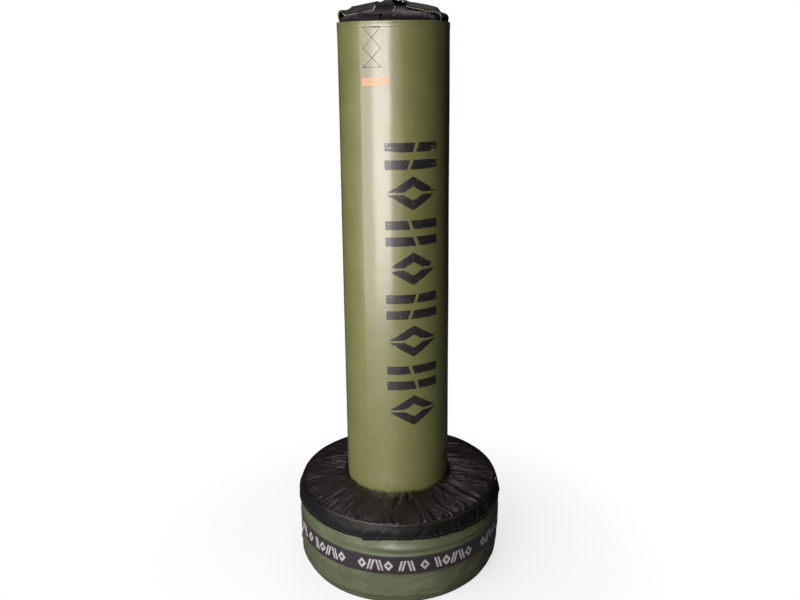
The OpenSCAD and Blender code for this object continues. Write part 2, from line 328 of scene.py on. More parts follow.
def settle(start, cut, held, form, frames, bending, gravity, limit):
    """Lets a round sheet of cloth find its own folds over a form, and returns its grid of points.

    start is where the sheet begins, cut is a grid with the lengths that it was cut to, held is 1
    where it is sewn down, and no point ends further than limit from where it began.
    """
    below = round_sheet("form", form)
    sheet = round_sheet("settling", start)
    sheet.shape_key_add(name="start")
    key = sheet.shape_key_add(name="cut")
    key.data.foreach_set("co", cut.reshape(-1).astype(np.float32))
    group = sheet.vertex_groups.new(name="held")
    flat_held = np.round(held.reshape(-1), 2)
    for weight in np.unique(flat_held[flat_held > 0]):
        group.add(np.flatnonzero(flat_held == weight).tolist(), float(weight), "REPLACE")
    cloth = sheet.modifiers.new("cloth", "CLOTH")
    for setting, value in CLOTH.items():
        setattr(cloth.settings, setting, value)
    cloth.settings.bending_stiffness = bending
    cloth.settings.rest_shape_key = key
    cloth.settings.effector_weights.gravity = gravity
    cloth.collision_settings.distance_min = CLOTH_GAP
    cloth.collision_settings.use_self_collision = False
    cloth.point_cache.frame_end = frames
    below.modifiers.new("collision", "COLLISION")
    below.collision.thickness_outer = CLOTH_GAP
    below.collision.cloth_friction = CLOTH_FRICTION
    scene = bpy.context.scene
    scene.frame_end = frames
    for number in range(1, frames + 1):
        scene.frame_set(number)
    done = bpy.data.meshes.new_from_object(sheet.evaluated_get(bpy.context.evaluated_depsgraph_get()))
    points = np.empty(start.size)
    done.vertices.foreach_get("co", points)
    scene.frame_set(1)
    for used in (sheet, below):
        bpy.data.objects.remove(used)
    moved = points.reshape(start.shape) - start
    far = np.linalg.norm(moved, axis=-1, keepdims=True)
    return start + moved * np.minimum(1, limit / np.maximum(far, TINY))


def refined(grid, count, closed):
    """A grid with its rows drawn again as count rows, on a smooth curve through the old ones."""
    size = len(grid)
    at = np.arange(count) * (size / count if closed else (size - 1) / (count - 1))
    first = np.floor(at).astype(int)

    def row(step):
        return grid[(first + step) % size if closed else np.clip(first + step, 0, size - 1)]

    return smooth_between(row(-1), row(0), row(1), row(2), (at - first)[:, None, None])


def spread(grid, rows, columns):
    """A round grid drawn again with that many rows round it and columns across it."""
    return refined(refined(grid, rows, True).swapaxes(0, 1), columns, False).swapaxes(0, 1)


def settled(start, cut_scale, held, form, **how):
    """Settles a coarse copy of a round sheet over a form, and moves the sheet as the copy moved.

    cut_scale is how much larger the cloth was cut, as (x, y, z), and form is a grid like start with
    the surface that it lies on. The copy keeps every third row and about every second column.
    """
    rows, columns = start.shape[:2]
    kept = np.linspace(0, columns - 1, columns // 2 + 1).round().astype(int)
    rough, rough_held, under = (grid[::3][:, kept] for grid in (start, held, form))
    done = settle(rough, rough * np.array(cut_scale), rough_held, under[::2], **how)
    return start + spread(done - rough, rows, columns)


def kept_over(done, start, least_r):
    """The settled points, no lower than just under where they began, and no nearer the post than least_r."""
    done[..., 2] = np.maximum(done[..., 2], start[..., 2] - 2 * MM)
    done[..., :2] *= np.maximum(1, least_r / np.hypot(done[..., 0], done[..., 1]))[..., None]
    return done


# ---- Materials ----

class Nodes:
    """A tree of shader nodes. Its calls add nodes to it and return their outputs."""

    def __init__(self, tree):
        self.tree = tree

    def add(self, kind, inputs=None, **settings):
        """A node. An input that is another node's output is linked, and any other is set."""
        made = self.tree.nodes.new("ShaderNode" + kind)
        for key, value in settings.items():
            setattr(made, key, value)
        for key, value in (inputs or {}).items():
            if isinstance(value, bpy.types.NodeSocket):
                self.tree.links.new(value, made.inputs[key])
            else:
                made.inputs[key].default_value = value
        return made

    def place_in(self, where, scale=(1, 1, 1)):
        """Coordinates in metres: of the Object, or of the cut cloth where it is UV."""
        source = self.add("TexCoord").outputs[where]
        return self.add("Mapping", {"Vector": source, "Scale": scale}).outputs["Vector"]

    def noise(self, vector, scale, detail=3.0, roughness=0.55, distortion=0.0):
        return self.add("TexNoise", {
            "Vector": vector, "Scale": scale, "Detail": detail, "Roughness": roughness,
            "Distortion": distortion}).outputs["Fac"]

    def cells(self, vector, scale, feature="F1"):
        """How far each point is from the middle of its cell, or from its edge."""
        return self.add("TexVoronoi", {"Vector": vector, "Scale": scale}, feature=feature).outputs["Distance"]

    def remap(self, value, low_in, high_in, low_out=0.0, high_out=1.0):
        return self.add("MapRange", {
            "Value": value, "From Min": low_in, "From Max": high_in, "To Min": low_out,
            "To Max": high_out}).outputs["Result"]

    def maths(self, operation, *values):
        return self.add("Math", dict(enumerate(values)), operation=operation).outputs[0]

    def mixed(self, share, first, second):
        """A colour between two: each is a colour or another node's output."""
        colours = [c if isinstance(c, bpy.types.NodeSocket) else (*c, 1) for c in (first, second)]
        return self.add("Mix", {0: share, 6: colours[0], 7: colours[1]}, data_type="RGBA").outputs[2]

    def bumped(self, height, distance, strength, below=None):
        inputs = {"Height": height, "Distance": distance, "Strength": strength}
        if below is not None:
            inputs["Normal"] = below
        return self.add("Bump", inputs).outputs["Normal"]


class Look(Nodes):
    """A material in the making: place is where each point is on its object, in metres."""

    def __init__(self, name, colour, roughness, **sockets):
        self.material = bpy.data.materials.new(name)
        self.material.use_nodes = True
        super().__init__(self.material.node_tree)
        self.shader = self.tree.nodes["Principled BSDF"]
        self.shader.inputs["Base Color"].default_value = (*colour, 1)
        self.shader.inputs["Roughness"].default_value = roughness
        for socket, value in sockets.items():
            self.shader.inputs[socket.replace("_", " ")].default_value = value
        self.place = self.place_in("Object")

    def finished(self, colour, roughness=None, normal=None):
        for socket, value in (("Base Color", colour), ("Roughness", roughness), ("Normal", normal)):
            if value is not None:
                self.tree.links.new(value, self.shader.inputs[socket])
        return self.material


def dimmed(colour, share):
    return tuple(c * share for c in colour)


def coated_cloth(name, colour, roughness, grain, scuffs, dark_share=0.72, coat=0.9, coat_roughness=0.17,
                 wrinkles=0.0, gloss=0.5):
    """Vinyl or polyurethane on cloth: leather grain, soft dents, darker patches that come and go, and scuffs."""
    look = Look(name, colour, roughness, Coat_Weight=coat, Coat_Roughness=coat_roughness,
                Specular_IOR_Level=gloss)
    broad = look.noise(look.place, 9.0, 4.0)
    fine = look.noise(look.place, 140.0)
    tint = look.mixed(look.remap(broad, 0.35, 0.66), dimmed(colour, dark_share), colour)
    streaks = look.noise(look.place_in("Object", (60, 60, 9)), 2.2, 5.0, 0.62, 1.4)
    scuffed = look.maths("MULTIPLY", look.remap(streaks, 0.63, 0.74), look.remap(fine, 0.45, 0.62))
    pale = tuple(min(1.0, 0.45 * c + 0.17) for c in colour)
    tint = look.mixed(look.maths("MULTIPLY", scuffed, scuffs), tint, pale)
    rough = look.remap(broad, 0.3, 0.7, roughness - 0.05, roughness + 0.07)
    rough = look.maths("ADD", rough, look.maths("MULTIPLY", scuffed, 0.2))
    normal = look.bumped(look.noise(look.place, 34.0, 2.0), 1.1 * MM, 0.35)
    look.tree.links.new(look.bumped(fine, 0.3 * MM, 0.3, normal), look.shader.inputs["Coat Normal"])
    if wrinkles:
        lines = look.noise(look.place, 26.0, 6.0, 0.6, 2.0)
        valley = look.maths("ABSOLUTE", look.maths("SUBTRACT", lines, 0.5))
        normal = look.bumped(look.remap(valley, 0.0, 0.05), 0.8 * MM, wrinkles, normal)
    leather = look.remap(look.cells(look.place, 620.0, "DISTANCE_TO_EDGE"), 0.0, 0.22)
    return look.finished(tint, rough, look.bumped(leather, 0.12 * MM, grain, normal))


def woven_cloth(name, colour, light, pitch, roughness, ribs=0.0, rib_pitch=4.5 * MM, sheen=0.25, gloss=0.3):
    """Plain weave of that pitch in the cut cloth's own directions, with ribs along it if asked. Its hollows,
    between the threads and between the ribs, take colour as painted shade, and its threads' crowns take light as a
    painted highlight.
    """
    look = Look(name, colour, roughness, Sheen_Weight=sheen, Sheen_Roughness=0.4, Specular_IOR_Level=gloss)
    axes = look.add("SeparateXYZ", {"Vector": look.place_in("UV")}).outputs

    def wave(axis, spacing):
        return look.maths("SINE", look.maths("MULTIPLY", axes[axis], math.pi / spacing))

    height = look.remap(look.maths("MULTIPLY", wave("X", pitch), wave("Y", pitch)), -1.0, 1.0)
    normal = look.bumped(height, 0.25 * MM, 0.7)
    if ribs:
        rib = look.maths("ABSOLUTE", wave("Y", rib_pitch))
        normal = look.bumped(rib, 0.5 * MM, ribs, normal)
        height = look.maths("MULTIPLY", height, look.remap(rib, 0.0, 0.5, 0.5, 1.0))
    # worn varies the roughness, and how far the crowns are painted towards the highlight colour
    worn = look.noise(look.place, 22.0, 4.0)
    tint = look.mixed(look.maths("MULTIPLY", height, look.remap(worn, 0.3, 0.7, 0.55, 1.0)), colour, light)
    return look.finished(tint, look.remap(worn, 0.3, 0.7, roughness - 0.06, roughness + 0.08), normal)


def foam_block():
    """Open foam: small pores with painted shade in them, and a yellowing that comes and goes."""
    fresh, yellow = (0.62, 0.56, 0.38), (0.62 * 0.82, 0.56 * 0.7, 0.38 * 0.5)
    look = Look("foam", fresh, 0.92)
    pores = look.cells(look.place, 450.0)
    tint = look.mixed(look.remap(look.noise(look.place, 7.0, 5.0), 0.4, 0.75), fresh, yellow)
    # Painted shade: the colour darkens towards the middle of each pore
    tint = look.mixed(look.remap(pores, 0.25, 0.0, 0.0, 0.6), tint, dimmed(fresh, 0.35))
    return look.finished(tint, None, look.bumped(pores, 0.8 * MM, 0.9))


def cast_concrete():
    look = Look("concrete", (0.36, 0.34, 0.3), 0.9)
    sand = look.noise(look.place, 420.0, 4.0)
    stains = look.noise(look.place, 11.0, 5.0, 0.6, 0.6)
    tint = look.mixed(look.remap(stains, 0.3, 0.7), (0.25, 0.235, 0.21), (0.42, 0.4, 0.36))
    tint = look.mixed(look.remap(sand, 0.55, 0.75, 0.0, 0.5), tint, (0.6, 0.57, 0.5))
    pits = look.bumped(look.remap(look.cells(look.place, 120.0), 0.0, 0.12), 1.2 * MM, 0.6)
    return look.finished(tint, None, look.bumped(sand, 0.6 * MM, 0.7, pits))


def tyre_rubber():
    look = Look("tyre_rubber", (0.022, 0.022, 0.023), 0.78, Specular_IOR_Level=0.35)
    dust = look.noise(look.place, 18.0, 5.0)
    tint = look.mixed(look.remap(dust, 0.48, 0.75, 0.0, 0.6), (0.018, 0.018, 0.019), (0.09, 0.08, 0.068))
    normal = look.bumped(look.noise(look.place, 300.0), 0.25 * MM, 0.6)
    return look.finished(tint, look.remap(dust, 0.3, 0.7, 0.65, 0.9), normal)


def powder_coat():
    """Orange-peel paint on steel, rubbed bright where it is bumped."""
    paint, roughness = (0.03, 0.032, 0.035), 0.42
    look = Look("painted_steel", paint, roughness, Coat_Weight=0.2, Coat_Roughness=0.2)
    wear = look.noise(look.place_in("Object", (1, 1, 0.35)), 60.0, 6.0, 0.65)
    tint = look.mixed(look.remap(wear, 0.66, 0.72, 0.0, 0.8), paint, (0.2, 0.19, 0.18))
    peel = look.bumped(look.noise(look.place, 260.0, 2.0), 0.15 * MM, 0.5)
    return look.finished(tint, look.remap(wear, 0.3, 0.8, roughness - 0.08, roughness + 0.15), peel)


def zinc_plate():
    look = Look("zinc_plate", (0.6, 0.6, 0.62), 0.32, Metallic=1.0)
    cloud = look.noise(look.place, 90.0, 5.0)
    tint = look.mixed(look.remap(cloud, 0.3, 0.7), (0.46, 0.47, 0.5), (0.72, 0.71, 0.66))
    lathe = look.bumped(look.noise(look.place_in("Object", (1, 1, 14)), 180.0, 2.0), 0.1 * MM, 0.4)
    return look.finished(tint, look.remap(cloud, 0.3, 0.7, 0.24, 0.45), lathe)


def moulded_plastic(name, colour, roughness, ring_pitch=1):
    """Plastic with a fine texture, or with the rings that turning leaves where ring_pitch is more than 1."""
    look = Look(name, colour, roughness)
    texture = look.noise(look.place_in("Object", (1, 1, ring_pitch)), 120.0)
    dirt = look.noise(look.place, 25.0, 5.0)
    tint = look.mixed(look.remap(dirt, 0.5, 0.8, 0.0, 0.5), colour, dimmed(colour, 0.6))
    rough = look.remap(dirt, 0.3, 0.7, roughness - 0.06, roughness + 0.08)
    return look.finished(tint, rough, look.bumped(texture, 0.12 * MM, 0.5))


def plywood():
    look = Look("plywood", (0.58, 0.4, 0.22), 0.6)
    grain = look.noise(look.place_in("Object", (3, 40, 3)), 5.0, 6.0, 0.6, 0.8)
    layers = look.add("TexWave", {"Vector": look.place, "Scale": 190.0, "Distortion": 0.4},
                      bands_direction="Z").outputs["Fac"]
    tint = look.mixed(look.remap(grain, 0.35, 0.7), (0.36, 0.22, 0.1), (0.62, 0.44, 0.25))
    tint = look.mixed(look.remap(layers, 0.3, 0.7, 0.0, 0.35), tint, (0.27, 0.16, 0.08))
    return look.finished(tint, None, look.bumped(grain, 0.3 * MM, 0.5))


def printed_ink(name, colour, worn_through):
    """Ink on vinyl, thin in places."""
    look = Look(name, colour, 0.42, Coat_Weight=0.25, Coat_Roughness=0.15)
    patches = look.noise(look.place, 70.0, 6.0, 0.65)
    specks = look.noise(look.place, 700.0, 2.0)
    tint = look.mixed(look.remap(patches, 0.52, 0.72, 0.0, 0.5), colour, worn_through)
    tint = look.mixed(look.remap(specks, 0.6, 0.75, 0.0, 0.35), tint, worn_through)
    normal = look.bumped(look.noise(look.place, 240.0), 0.15 * MM, 0.5)
    return look.finished(tint, look.remap(patches, 0.3, 0.7, 0.36, 0.5), normal)


def sewing_thread(name, colour):
    look = Look(name, colour, 0.55, Sheen_Weight=0.3)
    twist = look.noise(look.place, 900.0, 2.0)
    # Painted shade: the thread is darkened to half where its twist bump is low
    tint = look.mixed(look.remap(twist, 0.4, 0.65), dimmed(colour, 0.5), colour)
    return look.finished(tint, None, look.bumped(twist, 0.2 * MM, 0.6))


vinyl = coated_cloth("olive_vinyl", (0.122, 0.132, 0.0435), 0.43, 0.25, 0.35, 0.9, coat_roughness=0.195)
base_vinyl = coated_cloth("green_vinyl", (0.084, 0.107, 0.055), 0.4, 0.3, 0.6, 0.75, 0.3, 0.22, wrinkles=0.2)
black_vinyl = coated_cloth(
    "black_vinyl", (0.012, 0.0075, 0.007), 0.42, 0.5, 0.1, coat=0.16, coat_roughness=0.28, wrinkles=0.3,
    gloss=0.35)
skirt_vinyl = coated_cloth(
    "skirt_vinyl", (0.009, 0.009, 0.0092), 0.5, 0.45, 0.12, coat=0.09, coat_roughness=0.25, wrinkles=0.35,
    gloss=0.06)
piping_vinyl = coated_cloth(
    "piping_vinyl", (0.012, 0.0085, 0.008), 0.35, 0.3, 0.1, coat=0.3, coat_roughness=0.25)
# The backing is olive vinyl; this much paler copy is a painted highlight on its edges
backing_painted_highlight = coated_cloth("backing_painted_highlight", (0.66, 0.66, 0.42), 0.5, 0.2, 0.2, coat=0.1)
nylon = woven_cloth(
    "black_nylon", (0.007, 0.006, 0.007), (0.02, 0.017, 0.02), 0.9 * MM, 0.55, sheen=0.0, gloss=0.14)
webbing = woven_cloth(
    "black_webbing", (0.005, 0.0042, 0.0048), (0.014, 0.0115, 0.0135), 1.5 * MM, 0.65, 0.9, sheen=0.0,
    gloss=0.08)
tape_weave = woven_cloth(
    "black_tape", (0.006, 0.005, 0.0065), (0.034, 0.029, 0.034), 1.3 * MM, 0.65, 0.5, 2.6 * MM, sheen=0.1)
tape_pattern = woven_cloth("grey_tape_pattern", (0.18, 0.175, 0.175), (0.5, 0.485, 0.47), 1.1 * MM, 0.6)
elastic = woven_cloth("black_elastic", (0.006, 0.006, 0.006), (0.04, 0.04, 0.04), 1.0 * MM, 0.7)
textile = woven_cloth("textile_filling", (0.12, 0.13, 0.15), (0.32, 0.34, 0.37), 3.0 * MM, 0.9)
foam = foam_block()
concrete = cast_concrete()
rubber = tyre_rubber()
painted_steel = powder_coat()
zinc = zinc_plate()
pvc = moulded_plastic("grey_pvc", (0.25, 0.27, 0.29), 0.4)
polyethylene = moulded_plastic("white_polyethylene", (0.72, 0.71, 0.66), 0.38, ring_pitch=22)
black_plastic = moulded_plastic("black_plastic", (0.02, 0.02, 0.021), 0.5)
wood = plywood()
ink = printed_ink("black_ink", (0.011, 0.01, 0.012), (0.045, 0.045, 0.03))
orange_ink = printed_ink("orange_ink", (0.62, 0.19, 0.07), (0.66, 0.36, 0.22))
dark_thread = sewing_thread("dark_thread", (0.016, 0.017, 0.012))
black_thread = sewing_thread("black_thread", (0.02, 0.02, 0.021))


def dress(piece, look, body=None, slot=None, *stands_for):
    """Gives a piece its material, its body and the CAD nodes that it stands for; its slot is not used."""
    piece.data.materials.clear()
    piece.data.materials.append(look)
    if body:
        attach(piece, body)
    if stands_for:
        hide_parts(*stands_for)
    return piece


# ---- Stitching and prints ----

# A stitch: (place along it, thickness, height) of each of its rings of points, in lengths and threads
STITCH_RINGS = ((-0.5, 0.4, -1.0), (-0.28, 1.0, 0.3), (0.28, 1.0, 0.3), (0.5, 0.4, -1.0))
STITCH_SIDES = 4


def one_stitch():
    """A stitch along X, as points in units of (its length, its thread, its thread), and its faces."""
    turn = np.arange(STITCH_SIDES) * FULL_TURN / STITCH_SIDES + math.pi / 4
    points = [(x, size * math.cos(a), up + size * math.sin(a)) for x, size, up in STITCH_RINGS for a in turn]
    faces = [tuple(range(STITCH_SIDES))[::-1]]
    for ring in range(len(STITCH_RINGS) - 1):
        for k in range(STITCH_SIDES):
            a, b = ring * STITCH_SIDES + k, ring * STITCH_SIDES + (k + 1) % STITCH_SIDES
            faces.append((a, b, b + STITCH_SIDES, a + STITCH_SIDES))
    faces.append(tuple(range(len(points) - STITCH_SIDES, len(points))))
    return np.array(points), [f[::-1] for f in faces]


def along_run(run, values, where):
    """The values that are known at each distance of a run, read at other distances."""
    return np.stack([np.interp(where, run, values[:, k]) for k in range(3)], axis=1)


def stitching(name, rows, pitch, length, thread):
    """Rows of separate stitches in one mesh. A row is a line of points, with the cloth's normals there."""
    shape, shape_faces = one_stitch()
    points, faces, count = [], [], 0
    for line, normals in rows:
        run = run_of(line)
        number = max(1, int(run[-1] / pitch))
        at = (np.arange(number) + 0.5) * run[-1] / number
        centre, up = along_run(run, line, at), along_run(run, normals, at)
        ahead = unit(along_run(run, line, at + length / 2) - along_run(run, line, at - length / 2))
        up = unit(up - (up * ahead).sum(axis=1, keepdims=True) * ahead)
        size = np.stack([ahead * length, np.cross(up, ahead) * thread, up * thread], axis=1)
        points.append((centre[:, None] + shape @ size).reshape(-1, 3))
        for k in range(number):
            faces.extend([tuple(v + count for v in f) for f in shape_faces])
            count += len(shape)
    return add_mesh(name, np.vstack(points), faces)


def cut_out(name, field, across, up, cell, place, thickness):
    """A thin patch of the parts of a flat area where field(s, z) is above 0.

    across and up are its (low, high) limits, and place(s, z) lays points on the bag.
    """
    s = np.arange(across[0], across[1] + cell, cell)
    z = np.arange(up[0], up[1] + cell, cell)
    grid_s, grid_z = np.meshgrid(s, z, indexing="ij")
    value = field(grid_s, grid_z)
    inside = value > 0
    some = inside[:-1, :-1] | inside[1:, :-1] | inside[1:, 1:] | inside[:-1, 1:]
    numbers, flat, faces = {}, [], []

    def number_of(key, point):
        if key not in numbers:
            numbers[key] = len(flat)
            flat.append(point)
        return numbers[key]

    for i, j in np.argwhere(some).tolist():
        ring = [(i, j), (i + 1, j), (i + 1, j + 1), (i, j + 1)]
        face = []
        for a, b in zip(ring, ring[1:] + ring[:1]):
            if inside[a]:
                face.append(number_of(a, (s[a[0]], z[a[1]])))
            if inside[a] != inside[b]:
                t = value[a] / (value[a] - value[b])
                crossing = (s[a[0]] + t * (s[b[0]] - s[a[0]]), z[a[1]] + t * (z[b[1]] - z[a[1]]))
                face.append(number_of((a, b) if a < b else (b, a), crossing))
        if len(face) >= 3:
            faces.append(face)
    flat = np.array(flat)
    top, bottom = place(flat[:, 0], flat[:, 1], thickness), place(flat[:, 0], flat[:, 1], 0.0)
    count = len(flat)
    edges = dict.fromkeys((a, b) for face in faces for a, b in zip(face, face[1:] + face[:1]))
    sides = [(b, a, a + count, b + count) for a, b in edges if (b, a) not in edges]
    under = [[v + count for v in face[::-1]] for face in faces]
    return add_mesh(name, np.vstack([top, bottom]), faces + under + sides, smooth=False)


# ---- Trunk ----

SKIN_R = TRUNK_R - 0.7 * MM
SKIN_T = 2.2 * MM
HEM_LINES = (6 * MM, 17 * MM)
LAP_AZIMUTH = math.radians(-75)
LAP_STITCH = 7 * MM
FOAM_EDGE = math.radians(-34)
SEWN_TURN = math.radians(2.2)
BOX_HALF = 27 * MM
BOX_LEVELS = (RIM - 17.5 * MM, RIM - 44 * MM, RIM - 74 * MM, RIM - 100 * MM, RIM - 126 * MM)
ON_SHELL = ("trunk", "olive_vinyl", "trunk_shell")
INK_T = 0.16 * MM
INK_GAP = 0.02 * MM


def box_lines():
    """The stitch lines of one strap's box of crosses, as pairs of (distance round, height)."""
    top, upper, middle, lower, bottom = BOX_LEVELS
    left, right = -BOX_HALF, BOX_HALF
    return [
        ((left, top), (right, top)), ((left, bottom), (right, bottom)),
        ((left, top), (right, middle)), ((right, top), (left, middle)),
        ((left, middle), (right, bottom)), ((right, middle), (left, bottom)),
    ]


def distance_to_line(s, z, start, end):
    ahead = np.subtract(end, start)
    length = np.hypot(*ahead)
    ahead = ahead / length
    run = np.clip((s - start[0]) * ahead[0] + (z - start[1]) * ahead[1], 0, length)
    return np.hypot(s - start[0] - run * ahead[0], z - start[1] - run * ahead[1])


def trunk_surface(azimuth, z):
    """The radius of the vinyl's outside: soft dents, the lap seam, the hem and the sewn lines."""
    azimuth, z = np.broadcast_arrays(azimuth, z)
    calm = ease(z, TRUNK_BOTTOM + 0.12, TRUNK_BOTTOM + 0.3)
    radius = SKIN_R + 0.35 * MM * round_noise(azimuth, z, 9, 0.3, 11) * (0.4 + 0.6 * calm)
    radius += 0.16 * MM * round_noise(azimuth, z, 26, 0.11, 12) * calm
    depth = RIM - z
    radius += 0.5 * MM * (1 - ease(depth, 20 * MM, 22.5 * MM))
    for line in HEM_LINES:
        radius -= 0.45 * MM * hump(depth - line, 1.3 * MM)
    lap = angle_between(azimuth, LAP_AZIMUTH) * TRUNK_R
    radius += 0.9 * MM * (ease(lap, -0.6 * MM, 0.6 * MM) - ease(lap, 4 * MM, 34 * MM))
    radius -= 0.35 * MM * hump(lap - LAP_STITCH, 1.2 * MM)
    ridge = angle_between(azimuth, FOAM_EDGE) * TRUNK_R
    radius += 1.0 * MM * np.exp(-np.abs(ridge) / (11 * MM))
    for strap in STRAPS.values():
        s = angle_between(azimuth, strap["azimuth"] + SEWN_TURN) * TRUNK_R
        near = (np.abs(s) < BOX_HALF + 12 * MM) & (depth < 0.15)
        if near.any():
            sewn = np.min([distance_to_line(s, z, *line) for line in box_lines()], axis=0)
            over_strap = (1 - ease(np.abs(s), 28 * MM, 33 * MM)) * (1 - ease(depth, 0.128, 0.136))
            radius += np.where(near, 0.6 * MM * over_strap - 0.4 * MM * hump(sewn, 1.1 * MM), 0)
    return radius + 0.5 * MM * hump_at(azimuth, -97, 0.35) * hump(depth, 30 * MM)


def on_trunk(s, z, lift, azimuth=0.0):
    """Points on the vinyl at a distance s round from that azimuth."""
    turn = azimuth + np.asarray(s) / TRUNK_R
    return cylindrical(turn, trunk_surface(turn, z) + lift, np.asarray(z))


def trunk_azimuths():
    """Directions round the trunk, closer together where the straps are sewn."""
    fine, coarse = math.radians(0.5), math.radians(1.5)
    found, turn = [], 0.0
    while turn < FULL_TURN - fine / 2:
        found.append(turn)
        sewn = min(abs(angle_between(turn, s["azimuth"])) for s in STRAPS.values()) < math.radians(11)
        near_lap = abs(angle_between(turn, LAP_AZIMUTH)) < math.radians(5)
        turn += fine if sewn or near_lap else coarse
    return np.array(found)


def make_trunk_skin():
    azimuths = trunk_azimuths()
    bottom = TRUNK_BOTTOM + 0.2 * MM
    sewn_from = RIM - 0.15
    plain = np.arange(bottom, sewn_from, 10 * MM)
    heights = np.concatenate([plain, np.arange(sewn_from, RIM - 0.3 * MM, 1.5 * MM), [RIM - 0.2 * MM]])
    grid_a, grid_z = np.meshgrid(azimuths, heights, indexing="ij")
    radius = trunk_surface(grid_a, grid_z) - 0.7 * MM * ease(grid_z, RIM - 2.2 * MM, RIM)
    lifted = grid_z + 4.5 * MM * hump_at(grid_a, -100, 0.45) * ease(grid_z, RIM - 15 * MM, RIM)
    piece = skin("trunk_skin", cylindrical(grid_a, radius, lifted), SKIN_T, azimuths, TRUNK_R)
    return dress(piece, vinyl, *ON_SHELL)


def stitch_row(ends, azimuth, lift=0.25 * MM):
    """A row on the trunk between two (distance round, height) ends, measured from that azimuth."""
    (s0, z0), (s1, z1) = ends
    steps = max(3, int(math.hypot(s1 - s0, z1 - z0) / (4 * MM)))
    s, z = np.linspace(s0, s1, steps), np.linspace(z0, z1, steps)
    line = on_trunk(s, z, lift, azimuth)
    turn = azimuth + s / TRUNK_R
    return line, cylindrical(turn, np.ones(steps), np.zeros(steps))


def make_trunk_stitching():
    def sewn(name, rows, look, pitch, length, thread):
        dress(stitching(name, rows, pitch, length, thread), look, *ON_SHELL)

    boxes, bars = [], []
    for strap in STRAPS.values():
        azimuth = strap["azimuth"] + SEWN_TURN
        boxes += [stitch_row(line, azimuth) for line in box_lines()]
        for start, end, level in ((-2 * MM, BOX_HALF, BOX_LEVELS[0]), (-BOX_HALF, -9 * MM, BOX_LEVELS[-1])):
            for offset in (-0.7 * MM, 0, 0.7 * MM):
                ends = ((start, level + offset), (end, level + offset))
                bars.append(stitch_row(ends, azimuth, 0.4 * MM))
    for azimuth in (-88, 2, 92, 182):
        for offset in (-0.8 * MM, 0, 0.8 * MM):
            level = RIM - HEM_LINES[0] + offset
            bars.append(stitch_row(((-4 * MM, level), (4 * MM, level)), math.radians(azimuth), 0.4 * MM))
    round_trip = FULL_TURN * TRUNK_R
    rows = [stitch_row(((0, RIM - depth), (round_trip, RIM - depth)), math.pi) for depth in HEM_LINES]
    lap_ends = ((LAP_STITCH, TRUNK_BOTTOM + 6 * MM), (LAP_STITCH, RIM - 22 * MM))
    rows.append(stitch_row(lap_ends, LAP_AZIMUTH))
    sewn("box_stitching", boxes, dark_thread, 4.6 * MM, 4.3 * MM, 0.85 * MM)
    sewn("trunk_stitching", rows, dark_thread, 4.6 * MM, 4.0 * MM, 0.42 * MM)
    sewn("trunk_bar_tacks", bars, black_thread, 1.6 * MM, 2.2 * MM, 0.5 * MM)


# ---- Prints on the trunk ----

PRINT_AZIMUTH = math.radians(18.4)
PRINT_HALF = 84 * MM
PRINT_TOP, PRINT_BOTTOM = RIM - 0.337, RIM - 1.243
UNITS = 4
BAR_HALF = 14 * MM
BAR_LEVELS = (14 * MM, 64 * MM)
DIAMOND_LEVEL = 148 * MM
PATCH_AZIMUTH = math.radians(-18.7)
PATCH_Z = RIM - 0.166


def speckle(s, z, across, tall, seed):
    """Noise on the flat of a print, in lumps of that size."""
    return lattice_noise(s / across, z / tall, seed)


def stencil_field(s, z):
    """Above 0 where the ink is: bars across and split diamonds, cut by bridges, with worn edges."""
    repeat = (PRINT_TOP - PRINT_BOTTOM) / UNITS
    down = PRINT_TOP - z
    number = np.floor(down / repeat)
    v = down - number * repeat
    across = PRINT_HALF - np.abs(s)
    bars = np.max([BAR_HALF - np.abs(v - level) for level in BAR_LEVELS], axis=0)
    bars = np.minimum(bars, across)
    slanted = s + np.where(np.mod(number, 2) == 0, 1, -1) * 0.35 * (v - sum(BAR_LEVELS) / 2)
    bars = np.minimum(bars, np.abs(slanted) - 5 * MM)
    middle = v - DIAMOND_LEVEL
    diamond = (1 - np.abs(s) / PRINT_HALF - np.abs(middle) / (50 * MM)) * 44 * MM
    hollow = (1 - np.abs(s) / (0.42 * PRINT_HALF) - np.abs(middle) / (21 * MM)) * 19 * MM
    diamond = np.minimum(np.minimum(diamond, -hollow), np.abs(middle) - 3.5 * MM)
    shape = np.maximum(bars, diamond)
    ragged = (speckle(s, z, 5 * MM, 5 * MM, 31) * 0.8 + speckle(s, z, 1.9 * MM, 1.9 * MM, 32) * 0.5) * MM
    strokes = speckle(s, z, 34 * MM, 2.6 * MM, 33)
    brushed = ease(speckle(s, z, 60 * MM, 45 * MM, 34), 0.05, 0.5)
    brushed = ease(np.abs(s), 0.5 * PRINT_HALF, PRINT_HALF) * brushed
    specks = speckle(s, z, 3.2 * MM, 3.2 * MM, 35) - 0.74
    worn = np.maximum(specks * 14 * MM, (strokes - 0.25) * 13 * MM * brushed)
    return np.minimum(shape + ragged * 0.7, 3 * MM) - np.maximum(worn, 0) * 2.2


def patch_field(s, z):
    """An oblong with a pointed end and blank bars cut out of it, with ragged edges."""
    half_h = 10 * MM + 2.5 * MM * ease(s, 24 * MM, 27 * MM)
    out = np.maximum(-s - 40 * MM, np.abs(z) - half_h)
    out = np.maximum(out, (s - 44 * MM + np.abs(z) * 1.2) * 0.64)
    bars = np.minimum(3.0 * MM - np.abs(z), 25 * MM - np.abs(s + 5 * MM))
    bars = np.minimum(bars, np.abs(np.mod(s, 9 * MM) - 4.5 * MM) - 1.3 * MM)
    ragged = (speckle(s, z, 2.2 * MM, 2.2 * MM, 41) + speckle(s, z, 6 * MM, 6 * MM, 43) * 0.8) * MM
    specks = np.maximum(speckle(s, z, 2.6 * MM, 2.6 * MM, 42) - 0.45, 0) * 9 * MM
    return np.minimum(-out, -bars) + ragged - specks


